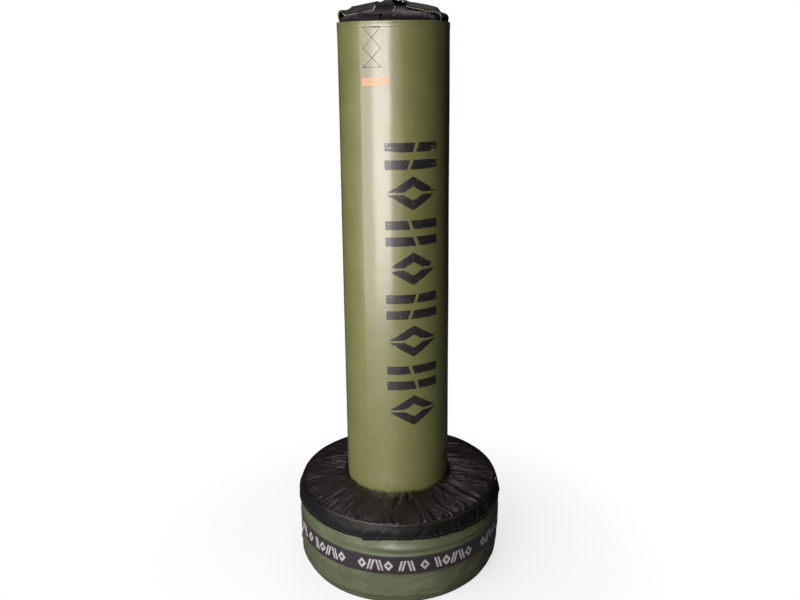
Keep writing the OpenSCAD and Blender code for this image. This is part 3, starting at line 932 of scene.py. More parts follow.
def make_prints():
    stencil = cut_out(
        "stencil_print", stencil_field, (-PRINT_HALF - 4 * MM, PRINT_HALF + 4 * MM),
        (PRINT_BOTTOM, PRINT_TOP + 4 * MM), 1.6 * MM,
        lambda s, z, lift: on_trunk(s, z, lift + INK_GAP, PRINT_AZIMUTH), INK_T)
    dress(stencil, ink, *ON_SHELL)
    patch = cut_out(
        "orange_patch", patch_field, (-44 * MM, 44 * MM), (-15 * MM, 15 * MM), 1.0 * MM,
        lambda s, z, lift: on_trunk(s, z + PATCH_Z + 0.03 * s, lift + INK_GAP, PATCH_AZIMUTH), INK_T)
    dress(patch, orange_ink, *ON_SHELL)


# ---- Top of the trunk ----

WEB_T = 1.9 * MM
BACKING_T = 1.2 * MM
WEB_OUT = 0.6 * MM
LOOP_R = EYE_BORE + WEB_T * 0.75
TIP_W = 30 * MM
TIP_END = EYE_R + 14 * MM
TIP_START = EYE_R + 36 * MM
LOOP_ANGLES = np.radians(np.arange(90, 271, 30))
SEWN_LEVELS = (0.14, 0.1, 0.05, 0.02, 0)
EDGE_ROW = 3 * MM

# How each strap lies, in millimetres: (radius, height over the rim) from the hinge to the run in to
# its eye, how many degrees it leans along that run, and the radii between which it takes up that lean
ROLLS = {
    "front_left_strap": (
        ((163.5, 8), (161, 14), (153, 19.5), (140, 21), (120, 21.5), (100, 24), (84, 28), (70, 35),
         (59, 46)), 4, 155, 120),
    "front_right_strap": (
        ((163.5, 8), (162, 15), (157, 21), (148, 25), (140, 27), (132, 31.5), (122, 36.5), (110, 40),
         (100, 42.5), (78, 47), (60, 51)), -13, 142, 124),
    "back_right_strap": (
        ((166, 10), (169, 22), (167, 34), (158, 43), (146, 47), (130, 48), (104, 50), (78, 52),
         (60, 53)), -8, 155, 120),
    "back_left_strap": (
        ((166, 9), (169, 18), (170, 28), (167, 37), (160, 41.5), (151, 41.5), (138, 42), (120, 44.5),
         (100, 47.5), (78, 50.5), (60, 53)), 27, 163, 147),
}


def strap_line(body):
    """The middle of a strap's webbing as (radius, height) points, from inside the trunk to its end."""
    base = HINGE_R + WEB_OUT
    rolled = [(r * MM, RIM + h * MM) for r, h in ROLLS[body][0]]
    inside = [(base, RIM - depth) for depth in SEWN_LEVELS]
    splits = [(EYE_R + 22 * MM, EYE_Z - 0.5 * MM), (EYE_R + 8 * MM, EYE_Z + LOOP_R - 1 * MM)]
    loop = [(EYE_R + LOOP_R * math.cos(a), EYE_Z + LOOP_R * math.sin(a)) for a in LOOP_ANGLES]
    over = curve_through(inside + rolled + splits + loop[:1], 4 * MM)
    ahead = unit(np.gradient(over, axis=0))
    under = over - np.stack([ahead[:, 1], -ahead[:, 0]], axis=1) * (WEB_T + BACKING_T + 0.6 * MM)
    sewn = (over[:, 0] > EYE_R + 13 * MM) & (over[:, 0] < EYE_R + 27 * MM)
    tail = [(EYE_R + 8 * MM, EYE_Z - 5.8 * MM)] + under[sewn][::-1].tolist()
    return curve_through(inside + rolled + splits + loop + tail, 2.2 * MM)


def strap_frame(line, azimuth, lean, lean_from, lean_to):
    """The middle line in space, with its directions across the strap and out of its face."""
    ahead = unit(np.gradient(line, axis=0))
    outward = np.array([math.sin(azimuth), -math.cos(azimuth), 0])
    upward = np.array([0, 0, 1.0])
    across = np.cross(outward, upward)
    face = ahead[:, 1:] * outward - ahead[:, :1] * upward
    centre = line[:, :1] * outward + line[:, 1:] * upward
    leaning = math.radians(lean) * ease(-line[:, 0], -lean_from * MM, -lean_to * MM)
    leaning *= 0.35 + 0.65 * ease(line[:, 0], 0.03, 0.06)
    leaning = (leaning * (line[:, 1] > RIM))[:, None]
    wide = across * np.cos(leaning) + face * np.sin(leaning)
    return centre, wide, face * np.cos(leaning) - across * np.sin(leaning)


BAND_SHARES = np.array([-1, -0.93, -0.7, -0.35, 0, 0.35, 0.7, 0.93, 1])


def band(name, centre, wide, face, width, thickness, bow, seed):
    """A band with soft edges and a slight cup, closed at both ends. bow is its curvature across."""
    edge = 1 - 0.75 * np.abs(BAND_SHARES) ** 12
    share = np.concatenate([BAND_SHARES, BAND_SHARES[::-1]])
    side = np.concatenate([edge, -edge[::-1]])
    run = run_of(centre)
    wave = 0.35 * MM * lattice_noise(run[:, None] / (26 * MM), share[None, :] * 1.3 + 9, seed)
    across = share * width[:, None] / 2
    out = side * thickness / 2 + wave - bow[:, None] * across ** 2 / 2
    points = centre[:, None] + wide[:, None] * across[..., None] + face[:, None] * out[..., None]
    count, around = out.shape
    faces, rows, columns = grid_faces(count, around, False, True)
    round_share = np.concatenate([BAND_SHARES + 1, 3 - BAND_SHARES[::-1], [4]])
    round_run = round_share * width.max() / 2
    uv = np.stack([run[rows], round_run[columns]], axis=-1).reshape(-1, 2)
    ends = [list(range(around))[::-1], list(range((count - 1) * around, count * around))]
    faces = faces.tolist() + ends
    uv = np.vstack([uv, np.zeros((2 * around, 2))])
    return add_mesh(name, points.reshape(-1, 3), faces, uv)


def strap_widths(line):
    """The webbing's full width, and a narrow one towards its eye."""
    return TIP_W + (STRAP_W - TIP_W) * ease(line[:, 0], TIP_END, TIP_START)


def crosses_joint(piece):
    """Bakes a strap's piece's transform into its mesh."""
    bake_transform(piece)


def before_eye(line, gap):
    """Which points of a strap come before it gets that near to its eye."""
    return np.arange(len(line)) < np.argmin(line[:, 0] > EYE_R + gap)


def make_strap(body):
    line = strap_line(body)
    centre, wide, face = strap_frame(line, STRAPS[body]["azimuth"], *ROLLS[body][1:])
    widths = strap_widths(line)
    seed = 50 + list(STRAPS).index(body)
    name = body.removesuffix("_strap")
    node = "strap_" + name
    bow = (1 - ease(line[:, 1], RIM - 2 * MM, RIM + 14 * MM)) / HINGE_R
    web = band(name + "_webbing", centre, wide, face, widths, WEB_T, bow, seed)
    dress(web, webbing, None, "black_webbing", node, "strap_anchors")
    crosses_joint(web)
    backed = (line[:, 1] > RIM - 25 * MM) & before_eye(line, 29 * MM)
    under = centre[backed] - face[backed] * (WEB_T + BACKING_T + 0.3 * MM) / 2
    shown = 6.5 * MM * ease(-line[backed, 0], -157 * MM, -145 * MM) - 1.6 * MM
    back = band(name + "_backing", under, wide[backed], face[backed], widths[backed] + shown, BACKING_T,
                bow[backed], seed)
    dress(back, nylon, None, "olive_vinyl", node)
    # The backing's edges, which show beside the webbing, take the pale copy of the olive vinyl: a painted
    # highlight
    back.data.materials.append(backing_painted_highlight)
    count = len(BAND_SHARES)
    around = np.arange(len(back.data.polygons)) % (2 * count)
    at_edge = np.isin(around, (0, count - 2, count - 1, count, 2 * count - 2, 2 * count - 1))
    back.data.polygons.foreach_set("material_index", at_edge.astype(np.int32))
    crosses_joint(back)
    seams = strap_stitching(name, line, centre, wide, face)
    dress(seams, dark_thread, None, "black_webbing", node)
    crosses_joint(seams)


def strap_stitching(name, line, centre, wide, face):
    """A row along each edge, and a box of crosses that closes the eye."""
    run_in = (line[:, 1] > RIM + 1 * MM) & before_eye(line, 9 * MM)
    half = wide * (strap_widths(line)[:, None] / 2 - EDGE_ROW)
    lifted = centre + face * (WEB_T / 2 + 0.2 * MM)
    rows = [(lifted[run_in] + side * half[run_in], face[run_in]) for side in (-1, 1)]
    spot = np.flatnonzero(run_in & (line[:, 0] < EYE_R + 30 * MM))
    share = np.linspace(-1, 1, len(spot))[:, None]
    for slope in (-1, 1):
        rows.append((lifted[spot] + slope * share * half[spot], face[spot]))
    for end in (spot[0], spot[-1]):
        ends = np.linspace(-1, 1, 6)[:, None] * half[end]
        rows.append((lifted[end] + ends, np.repeat(face[end:end + 1], 6, axis=0)))
    return stitching(name + "_strap_stitching", rows, 4 * MM, 3 * MM, 0.36 * MM)


# ---- Nylon closure ----

CLOTH_EDGE_R = HINGE_R - 3.2 * MM

# The heap's outline in millimetres, as (radius, height over the rim): under the straps at the back
# and the side, and before them
HEAP_TOP = ((0, 65), (10, 64), (15, 58))
HEAP_BEHIND = HEAP_TOP + ((19, 48), (45, 47), (80, 44), (112, 40), (136, 33), (149, 24), (156, 13),
                          (159.9, -12))
HEAP_BEFORE = HEAP_TOP + ((19, 44), (45, 34), (80, 27), (112, 23), (136, 19), (149, 14), (156, 8),
                          (159.9, -12))


def dome_height(azimuth, r):
    """The heap's height over the rim: it fills the room under the side straps, and is low before them."""
    behind, before = (np.interp(r, *(np.array(part).T * MM)) for part in (HEAP_BEHIND, HEAP_BEFORE))
    in_front = r * np.sin(azimuth - STRAPS["back_left_strap"]["azimuth"])
    return behind + (before - behind) * ease(in_front, 20 * MM, 36 * MM)


def strap_ceiling(azimuth, r):
    """The height over the rim at which the nylon would meet a strap, and a large one away from them."""
    ceiling = np.full(np.shape(r), 1.0)
    for body, strap in STRAPS.items():
        line = strap_line(body)
        inward = np.arange(len(line)) < np.argmax(line[:, 0] < EYE_R + 20 * MM)
        run_in = inward & (line[:, 1] > RIM + 12 * MM)
        order = np.argsort(line[run_in, 0])
        s = angle_between(azimuth, strap["azimuth"]) * r
        under = np.interp(r, line[run_in, 0][order], line[run_in, 1][order]) - RIM
        lean, lean_from, lean_to = ROLLS[body][1:]
        lean = math.tan(math.radians(lean)) * ease(-r, -lean_from * MM, -lean_to * MM)
        beside = ease(np.abs(s), 36 * MM, 60 * MM) * 10 * MM
        over = under - lean * np.clip(s, -34 * MM, 34 * MM) - 5 * MM + beside
        near = (np.abs(s) < 60 * MM) & (r > 17 * MM)
        ceiling = np.where(near, np.minimum(ceiling, over), ceiling)
    return ceiling


def make_top_cloth():
    azimuths = even_azimuths(480)
    rings = np.concatenate([[CLOTH_EDGE_R] * 3, np.linspace(CLOTH_EDGE_R - 1.5 * MM, 3 * MM, 66)])
    grid_a, grid_r = np.meshgrid(azimuths, rings, indexing="ij")
    share = grid_r / CLOTH_EDGE_R
    height = dome_height(grid_a, grid_r)
    height[:, :3] = np.linspace(-12, 1, 3) * MM
    gathers = creases(grid_a, grid_r, 1 - share, 61, 30, (0.35, 0.95), 0.8, 2.6 * MM)
    lumps = round_noise(grid_a + 0.8 * share, share, 11, 0.3, 62)
    lumps += 0.5 * round_noise(grid_a, share, 27, 0.2, 63)
    inner = ease(-grid_r, -CLOTH_EDGE_R + 1 * MM, -CLOTH_EDGE_R + 14 * MM)
    height = height + (gathers * 5.0 * MM + lumps * 3.5 * MM) * inner * ease(grid_r, 20 * MM, 50 * MM)
    start = cylindrical(grid_a, grid_r, RIM + np.minimum(height, strap_ceiling(grid_a, grid_r)))
    held = np.where(np.arange(len(rings))[None] < 2, 1.0, 0.0) * np.ones((len(azimuths), 1))
    held[:, -1] = 0.6
    done = settled(start, (1.08, 1.08, 1.0), held, start - UNDER_CLOTH, frames=16, bending=0.5, gravity=0.4,
                   limit=6 * MM)
    done = kept_over(done, start, 0)
    ceiling = RIM + strap_ceiling(grid_a, np.hypot(done[..., 0], done[..., 1]))
    done[..., 2] = np.minimum(done[..., 2], ceiling)
    far = np.hypot(done[..., 0], done[..., 1])
    done[..., :2] *= np.minimum(1, CLOTH_EDGE_R / far)[..., None]
    piece = skin("top_cloth", done[:, ::-1], 0.6 * MM, azimuths, 0.12)
    return dress(piece, nylon, "trunk", "black_nylon", "top_closure")


def rounded_section(r_in, r_out, z_low, z_high, corner, step=12 * MM):
    """A closed ring section with round corners, up its outer side first."""
    outline = []
    for r, z, first in ((r_out, z_low, -90), (r_out, z_high, 0), (r_in, z_high, 90), (r_in, z_low, 180)):
        middle = (r - corner if r == r_out else r + corner, z + corner if z == z_low else z - corner)
        for a in np.radians(first + np.arange(0, 91, 22.5)):
            outline.append((middle[0] + corner * math.cos(a), middle[1] + corner * math.sin(a)))
    closed = np.array(outline + outline[:1])
    fine = [closed[0]]
    for a, b in zip(closed, closed[1:]):
        parts = max(1, int(np.linalg.norm(b - a) / step))
        fine.extend(a + (b - a) * (k + 1) / parts for k in range(parts))
    return np.array(fine[:-1])


def lumpy(amount, cells, tall, seed):
    """A bend for turned() that swells and sinks the surface, more on its outside."""
    def bend(azimuth, radius, height):
        swell = amount * round_noise(azimuth, height, cells, tall, seed)
        return radius + swell, height + swell * 0.4
    return bend


# ---- Inside of the trunk ----

LINING_OUT = high("trunk_lining").x - 0.6 * MM
LINING_IN = LINING_OUT - 26 * MM
CORE_R = high("core_tube").x
FILLING_SPLIT = 70 * MM


def levels_of(node):
    return low(node).z, high(node).z


def strap_pockets(azimuth, radius, height):
    """A bend that presses the sewn straps into the outside of the lining."""
    dent = np.zeros(radius.shape)
    for strap in STRAPS.values():
        s = np.abs(angle_between(azimuth, strap["azimuth"])) * HINGE_R
        dent = np.maximum(dent, (1 - ease(s, 31 * MM, 35 * MM)) * ease(height, RIM - 0.155, RIM - 0.145))
    outer = ease(radius, LINING_OUT - 4 * MM, LINING_OUT - 1 * MM)
    return radius - dent * outer * 3.6 * MM, height


def ring(name, node, look, slot, radii, levels, corner, step, count, bend=None, body="trunk"):
    """A piece turned about the post: a rounded section between two radii and two levels."""
    section = rounded_section(*radii, *levels, corner, step)
    return dress(turned(name, section, even_azimuths(count), bend), look, body, slot, node)


def make_trunk_inside():
    ring("foam_lining", "trunk_lining", foam, "foam", (LINING_IN, LINING_OUT), levels_of("trunk_lining"),
         3 * MM, 14 * MM, 240, strap_pockets)
    fill_low, fill_high = levels_of("trunk_filling")
    filling = ("trunk_filling", textile, "textile_filling")
    ring("textile_filling", *filling, (FILLING_SPLIT + 2 * MM, LINING_IN - 1.5 * MM), (fill_low, fill_high),
         8 * MM, 16 * MM, 120, lumpy(1.2 * MM, 14, 0.03, 71))
    ring("core_packing", *filling, (CORE_R + 1.5 * MM, FILLING_SPLIT),
         (fill_low + 40 * MM, fill_high - 10 * MM), 5 * MM, 16 * MM, 90, lumpy(1.0 * MM, 9, 0.03, 72))
    pad = ring("top_filling_pad", "top_pad", foam, "foam", (4 * MM, LINING_IN - 1.5 * MM),
               levels_of("top_pad"), 9 * MM, 10 * MM, 96, lumpy(1.0 * MM, 9, 0.05, 73))
    ring("bottom_panel", "trunk_bottom_panel", black_vinyl, "black_vinyl",
         (CORE_R + 0.3 * MM, TRUNK_R - 1.2 * MM), levels_of("trunk_bottom_panel"), 1 * MM, 12 * MM, 160)


# ---- Base cover ----

PADDING_OUT = high("side_foam").x - 3.4 * MM
PADDING_TOP = high("side_foam").z
SEAM_R, SEAM_Z = PIPING_R, PIPING_Z - 2.4 * MM
HEM_R = TRUNK_R + 0.9 * MM
HEM_Z = low("cover_top").z + 0.5 * MM
OVERLAP_AZIMUTH = math.radians(-19)
CREASE_DEPTH = 5.5 * MM
# Heights on the wall: where the skirt hides it up to the seam, and the fold that shows under the skirt
HIDDEN_FROM, HIDDEN_TO = 0.235, 0.262
CREST_Z = 0.2
SKIRT_REACH = 0.19


def lopsided(azimuth):
    """How far the soft cover sits out over the tyre: snug on the left, and loose on the right."""
    return 0.5 * MM + 4.0 * MM * np.sin(azimuth)


def crowded(degrees, width, least, most):
    """A crowd for creases(): the most in that direction, and the least far from it."""
    return lambda centre: least + most * float(hump_at(centre, degrees, width))


def swept(line, azimuths):
    """Grids of direction, radius and height for an outline carried round the bag."""
    grid_a, radius = np.meshgrid(azimuths, line[:, 0], indexing="ij")
    return grid_a, radius, np.repeat(line[None, :, 1], len(azimuths), axis=0)


def crown_line():
    """The top panel's outline from the seam over the crown to the elastic and the hem."""
    points = [
        (SEAM_R - 1 * MM, SEAM_Z), (SEAM_R - 4 * MM, CROWN - 16 * MM), (SEAM_R - 11 * MM, CROWN - 12.5 * MM),
        (SEAM_R - 26 * MM, CROWN - 8.5 * MM), (SEAM_R - 52 * MM, CROWN - 4.5 * MM),
        (SEAM_R - 80 * MM, CROWN - 1.5 * MM), (TRUNK_R + 44 * MM, CROWN),
        (TRUNK_R + 22 * MM, CROWN - 0.5 * MM), (TRUNK_R + 9 * MM, CROWN - 3.5 * MM),
        (TRUNK_R + 3.2 * MM, CROWN - 9 * MM), (HEM_R + 0.4 * MM, CROWN - 16 * MM), (HEM_R, HEM_Z),
    ]
    return curve_through(points, 4 * MM)


def make_cover_top():
    line = crown_line()
    azimuths = even_azimuths(720)
    grid_a, radius, height = swept(line, azimuths)
    grid_run = np.repeat(run_of(line)[None], len(azimuths), axis=0)
    ahead = unit(np.gradient(line, axis=0))
    normal_r, normal_z = ahead[:, 1], -ahead[:, 0]
    share = np.clip((radius - HEM_R) / (SEAM_R - HEM_R), 0, 1)
    at_front = crowded(35, 0.9, 0.5, 0.5)
    inner = creases(grid_a, radius, share, 82, 24, (0.3, 0.9), 0.3, 4.2 * MM, at_front)
    outer = creases(grid_a, radius, share, 83, 36, (-0.2, -0.6), 0.35, 3.6 * MM, at_front)
    through = creases(grid_a, radius, share, 86, 11, (0.8, 1.1), 0.45, 4.0 * MM)
    swell = 2.6 * MM * round_noise(grid_a, share, 13, 0.5, 84)
    swell += 1.5 * MM * round_noise(grid_a, share, 34, 0.3, 85)
    small = 0.2 * MM * round_noise(grid_a + 0.2 * share, share, 90, 0.16, 87)
    free = ease(grid_run, 0, 9 * MM) * ease(radius, HEM_R + 1.5 * MM, HEM_R + 12 * MM)
    rise = (9.5 * MM * inner + 9.0 * MM * outer + 7.0 * MM * through + swell + small) * free
    rise = np.where(rise < 0, CREASE_DEPTH * np.tanh(rise / CREASE_DEPTH), rise)
    sunk_behind = (1.0 + 6.0 * ease(-np.cos(grid_a), 0.2, 0.9)) * MM
    rise -= sunk_behind * free
    high_in_front = 5.5 * MM * (0.5 + 0.5 * np.cos(grid_a)) * (1 - ease(share, 0.1, 0.75))
    height = height + high_in_front * ease(radius, HEM_R, HEM_R + 6 * MM)
    radius = radius + lopsided(grid_a) * ease(share, 0.1, 0.9)
    start = cylindrical(grid_a, radius + rise * normal_r, height + rise * normal_z)
    held = np.where((grid_run < 3 * MM) | (radius < HEM_R + 2 * MM), 1.0, 0.0)
    done = settled(start, (1.02, 1.02, 1.0), held, start - UNDER_CLOTH, frames=16, bending=1.5, gravity=0.3,
                   limit=7 * MM)
    piece = skin("crown_skin", kept_over(done, start, HEM_R), 1.4 * MM, azimuths, 0.25)
    return dress(piece, black_vinyl, "base", "black_vinyl", "cover_top")


def make_skirt(wall):
    azimuths = even_azimuths(420)
    drop = np.linspace(0, 1, 26)
    grid_a, grid_d = np.meshgrid(azimuths, drop, indexing="ij")
    lifted = hump_at(grid_a, 58, 0.13)
    overlap = angle_between(grid_a, OVERLAP_AZIMUTH) * COVER_R
    step = ease(overlap, -1 * MM, 0.5 * MM)
    length = SKIRT_HIGH - SKIRT_LOW - 4 * MM + 4 * MM * round_noise(grid_a, grid_a * 0, 17, 1, 90)
    length += 13 * MM * hump_at(grid_a, 52, 0.022)
    length += 5 * MM * (step - ease(overlap, 10 * MM, 90 * MM))
    height = SEAM_Z - 1 * MM - grid_d * (length - 22 * MM * lifted)
    top_r, bottom_r = SEAM_R + 3.5 * MM, COVER_R + 1 * MM
    radius = top_r + (bottom_r - top_r) * np.sin(np.minimum(grid_d * 1.35, 1) * math.pi / 2)
    loose = 1 + 0.8 * hump_at(grid_a, 38, 0.5)
    wave = 5.0 * MM * loose * round_noise(grid_a + 0.12 * grid_d, grid_d, 26, 1.6, 91)
    wave += 2.6 * MM * round_noise(grid_a, grid_d, 74, 0.8, 92)
    wave += 2.0 * MM * pleats(grid_a, 93, 40, 0.22) * (1 - grid_d)
    at_right = crowded(30, 0.6, 0.35, 0.9)
    folds = creases(grid_a, COVER_R, 1 - grid_d, 94, 44, (0.5, 1.3), 0.12, 3.0 * MM, at_right)
    radius += wave * ease(grid_d, 0.02, 0.5) * 0.7 + 6 * MM * lifted * grid_d ** 2
    radius += 4.5 * MM * folds * ease(grid_d, 0.0, 0.15)
    radius += 2.6 * MM * (step - ease(overlap, 6 * MM, 40 * MM)) * ease(grid_d, 0.05, 0.3)
    hem = 0.8 * MM * (1 - ease(1 - grid_d, 0.16, 0.2))
    radius += hem + lopsided(grid_a)
    levels = np.linspace(SKIRT_REACH, SEAM_Z, 24)
    over_wall = table_radius(radius_table(wall, levels), levels, grid_a, height) + 2.6 * MM
    radius = np.where(grid_d > 0.1, np.maximum(radius, over_wall), radius)
    points = cylindrical(grid_a, radius, height)
    piece = skin("skirt", points[:, ::-1], 1.4 * MM, azimuths, COVER_R)
    dress(piece, skirt_vinyl, "base", "black_vinyl", "cover_skirt")
    sewn = int(len(drop) * 0.8)
    normal = grid_normals(points[:, ::-1])[:, ::-1]
    line, outward = (np.vstack([grid[:, sewn], grid[:1, sewn]]) for grid in (points, normal))
    seams = stitching("skirt_stitching", [(line + 0.2 * MM * outward, outward)], 5 * MM, 3.8 * MM, 0.4 * MM)
    dress(seams, black_thread, "base", "black_vinyl", "cover_skirt")


def wall_line():
    """The green wall's outline, from its hem on the floor up to the shoulder seam."""
    points = [
        (COVER_R - 34 * MM, 1.5 * MM), (COVER_R - 26 * MM, 3.2 * MM), (COVER_R - 17 * MM, 13 * MM),
        (COVER_R - 8.5 * MM, 31 * MM), (COVER_R - 3 * MM, 55 * MM), (COVER_R - 0.8 * MM, 85 * MM),
        (COVER_R - 0.4 * MM, 120 * MM), (COVER_R - 0.6 * MM, 160 * MM), (COVER_R - 1.2 * MM, 200 * MM),
        (COVER_R - 3.6 * MM, 228 * MM), (COVER_R - 9 * MM, 258 * MM), (SEAM_R - 0.5 * MM, SEAM_Z - 2 * MM),
    ]
    return curve_through(points, 5 * MM)


def over_padding(points):
    """The wall's points, moved out where they would be inside the padding."""
    far = np.hypot(points[..., 0], points[..., 1])
    z = points[..., 2]
    beside = ease(z, 8 * MM, 40 * MM) * (1 - ease(z, PADDING_TOP, PADDING_TOP + 12 * MM))
    least = PADDING_OUT + 2.2 * MM - 20 * MM * (1 - beside)
    return points * np.stack([np.maximum(1, least / far)] * 2 + [np.ones(far.shape)], axis=-1)


def make_wall():
    line = wall_line()
    grid_a, radius, height = swept(line, even_azimuths(480))
    free = ease(height, 3 * MM, 30 * MM) * (1 - ease(height, HIDDEN_FROM, HIDDEN_TO))
    over_tape = ease(height, TAPE_LOW - 10 * MM, TAPE_LOW + 6 * MM)
    over_tape = over_tape * (1 - ease(height, TAPE_HIGH - 6 * MM, TAPE_HIGH + 10 * MM))
    dents = 3.6 * MM * round_noise(grid_a + 1.6 * (height - 0.14), height, 8, 0.09, 101)
    dents += 2.2 * MM * round_noise(grid_a - 2.6 * (height - 0.1), height, 15, 0.035, 102)
    sagging = 6.0 * MM * np.maximum(0, round_noise(grid_a, height * 0, 5, 1, 105) + 0.35)
    for bulge_at, tall in ((3, 4.5 * MM), (46, 6.0 * MM)):
        sagging += tall * hump_at(grid_a, bulge_at, 0.26)
    crest = height - CREST_Z - 6 * MM * round_noise(grid_a, height * 0, 7, 1, 107)
    under_skirt = sagging * (hump(crest, 8 * MM) - 1.2 * hump(crest + 15 * MM, 6 * MM))
    folds = 3.0 * MM * slanting_folds(grid_a, height)
    radius = radius + (dents + folds) * free * (1 - 0.8 * over_tape) + under_skirt * free
    radius = radius + lopsided(grid_a) * ease(height, 20 * MM, 80 * MM)
    start = over_padding(cylindrical(grid_a, radius, height))
    held = np.where(free < 0.02, 1.0, 0.0)
    form = start * np.array([0.988, 0.988, 1.0])
    return over_padding(settled(start, (1.004, 1.004, 1.04), held, form, frames=14, bending=2.0,
                                gravity=0.3, limit=2.5 * MM))


def slanting_folds(azimuth, height, count=16):
    """Long low folds that slant across the lower wall, each a sharp valley under a round ridge."""
    random = np.random.default_rng(106)
    total = np.zeros(azimuth.shape)
    for number in range(count):
        centre = (number + random.uniform(-0.4, 0.4)) * FULL_TURN / count
        level, slope = random.uniform(0.035, 0.1), random.uniform(-0.35, 0.35)
        long, tall = random.uniform(0.1, 0.24), random.uniform(6, 11) * MM
        s = angle_between(azimuth, centre) * COVER_R
        y = (height - level - slope * s) / tall
        profile = hump(y - 1, 1) - 1.1 * np.exp(-(np.abs(y + 0.2) / 0.6) ** 1.4)
        total += random.uniform(0.4, 1.0) * hump(s, long) * profile
    return total


def radius_table(points, heights):
    """The radius of a round grid of points at the given heights, for each of its directions."""
    far = np.hypot(points[..., 0], points[..., 1])
    return np.array([np.interp(heights, z, r) for z, r in zip(points[..., 2], far)])


def table_radius(table, heights, azimuth, z):
    """The radius between the entries of a table made by radius_table()."""
    turn = np.mod(azimuth / FULL_TURN, 1) * len(table)
    level = np.clip((z - heights[0]) / (heights[-1] - heights[0]), 0, 1) * (len(heights) - 1)
    i, j = np.floor(turn).astype(int), np.minimum(np.floor(level).astype(int), len(heights) - 2)
    fi, fj = turn - i, level - j
    i0, i1 = i % len(table), (i + 1) % len(table)
    near = table[i0, j] * (1 - fi) + table[i1, j] * fi
    far = table[i0, j + 1] * (1 - fi) + table[i1, j + 1] * fi
    return near * (1 - fj) + far * fj


def make_base_cover():
    wall = make_wall()
    azimuths = even_azimuths(len(wall))
    piece = skin("side_skin", wall, 1.6 * MM, azimuths, COVER_R)
    tall = run_of(wall_line())[-1]
    dress(piece, base_vinyl, "base", "olive_vinyl", "cover_wall")
    make_tape(wall)
    make_cover_top()
    make_skirt(wall)
    make_piping()
    ring("floor_panel", "cover_bottom", black_vinyl, "black_vinyl", (1 * MM, COVER_R - 37.6 * MM),
         (0.2 * MM, 2.8 * MM), 1 * MM, 16 * MM, 160, body="base")


# ---- Woven tape ----

TAPE_WAVES = 26.0


def tape_table(wall):
    """Radii of the tape's outside on a regular grid: it bridges the small dents of the wall."""
    heights = np.linspace(TAPE_LOW, TAPE_HIGH, 31)
    table = radius_table(wall, heights)
    count = len(table)
    spectrum = np.fft.rfft(table, axis=0)
    spectrum *= hump(np.arange(len(spectrum)), TAPE_WAVES)[:, None]
    smooth = np.fft.irfft(spectrum, count, axis=0)
    return heights, np.maximum(table, smooth) + 1.5 * MM


# The tape's pattern: groups of diamonds (0) and bars that slant one way or the other
MOTIF = ((0, 1, -1, 0), (1, -1), (0,), (-1, 0, 1, -1, 0))
MOTIF_STEP, MOTIF_GAP, MOTIF_BREAK = 27 * MM, 14 * MM, 42 * MM
ON_TAPE = ("base", "woven_tape", "cover_tape")


def motif_marks():
    """Where the marks of one repeat are, as (distance, kind) pairs, and how long a repeat is."""
    marks, at = [], MOTIF_BREAK / 2
    for group in MOTIF:
        for kind in group:
            marks.append((at + MOTIF_STEP / 2, kind))
            at += MOTIF_STEP
        at += MOTIF_GAP
    return marks, at - MOTIF_GAP + MOTIF_BREAK / 2


def motif_field(s, z):
    """Above 0 on the tape's repeating pattern of outlined diamonds and slanted bars."""
    marks, length = motif_marks()
    whole_turn = FULL_TURN * COVER_R
    period = whole_turn / round(whole_turn / length)
    x = np.mod(s + 0.36 * period, period) * length / period
    y = z - (TAPE_LOW + TAPE_HIGH) / 2
    half_h = 17.5 * MM
    drawn = np.full(np.shape(x), -1.0)
    for at, kind in marks:
        if kind == 0:
            shape = (1 - np.abs(x - at) / (14.5 * MM) - np.abs(y) / half_h) * 11 * MM
            mark = np.minimum(shape, 6.6 * MM - shape)
        else:
            aside = np.abs(x - at - kind * 0.28 * y)
            mark = np.min([8.0 * MM - aside, half_h - np.abs(y), aside - 2.0 * MM], axis=0)
        drawn = np.maximum(drawn, mark)
    return drawn + speckle(s, z, 1.6 * MM, 1.6 * MM, 121) * 0.5 * MM


def make_tape(wall):
    heights, table = tape_table(wall)
    azimuths = even_azimuths(len(wall))
    grid_a, grid_z = np.meshgrid(azimuths, heights, indexing="ij")
    piece = skin("tape", cylindrical(grid_a, table, grid_z), 1.3 * MM, azimuths, COVER_R)
    dress(piece, tape_weave, *ON_TAPE)

    def place(s, z, lift):
        turn = s / COVER_R
        return cylindrical(turn, table_radius(table, heights, turn, z) + lift, z)

    pattern = cut_out("tape_pattern", motif_field, (0, FULL_TURN * COVER_R - 2 * MM),
                      (TAPE_LOW + 8 * MM, TAPE_HIGH - 8 * MM), 1.15 * MM, place, 0.35 * MM)
    dress(pattern, tape_pattern, *ON_TAPE)
    turn = np.linspace(0, FULL_TURN, 500)
    outward = cylindrical(turn, np.ones(len(turn)), np.zeros(len(turn)))
    rows = [(place(turn * COVER_R, np.full(len(turn), level), 0.2 * MM), outward)
            for level in (TAPE_LOW + 3 * MM, TAPE_HIGH - 3 * MM)]
    dress(stitching("tape_stitching", rows, 4.5 * MM, 3.4 * MM, 0.36 * MM), black_thread, *ON_TAPE)


# ---- Piping, elastic and foams ----

FOAM_SHOULDER_Z = 0.252


def round_cord(name, azimuth, radius, height, size, sides=10):
    """A closed cord through points given by direction, radius and height."""
    turn = np.arange(sides) * FULL_TURN / sides
    around_r = radius[:, None] + size[:, None] * np.cos(turn)
    around_z = height[:, None] + size[:, None] * np.sin(turn)
    points = cylindrical(np.repeat(azimuth[:, None], sides, axis=1), around_r, around_z)
    return grid_piece(name, points, azimuth * radius.mean(), turn * size.mean())


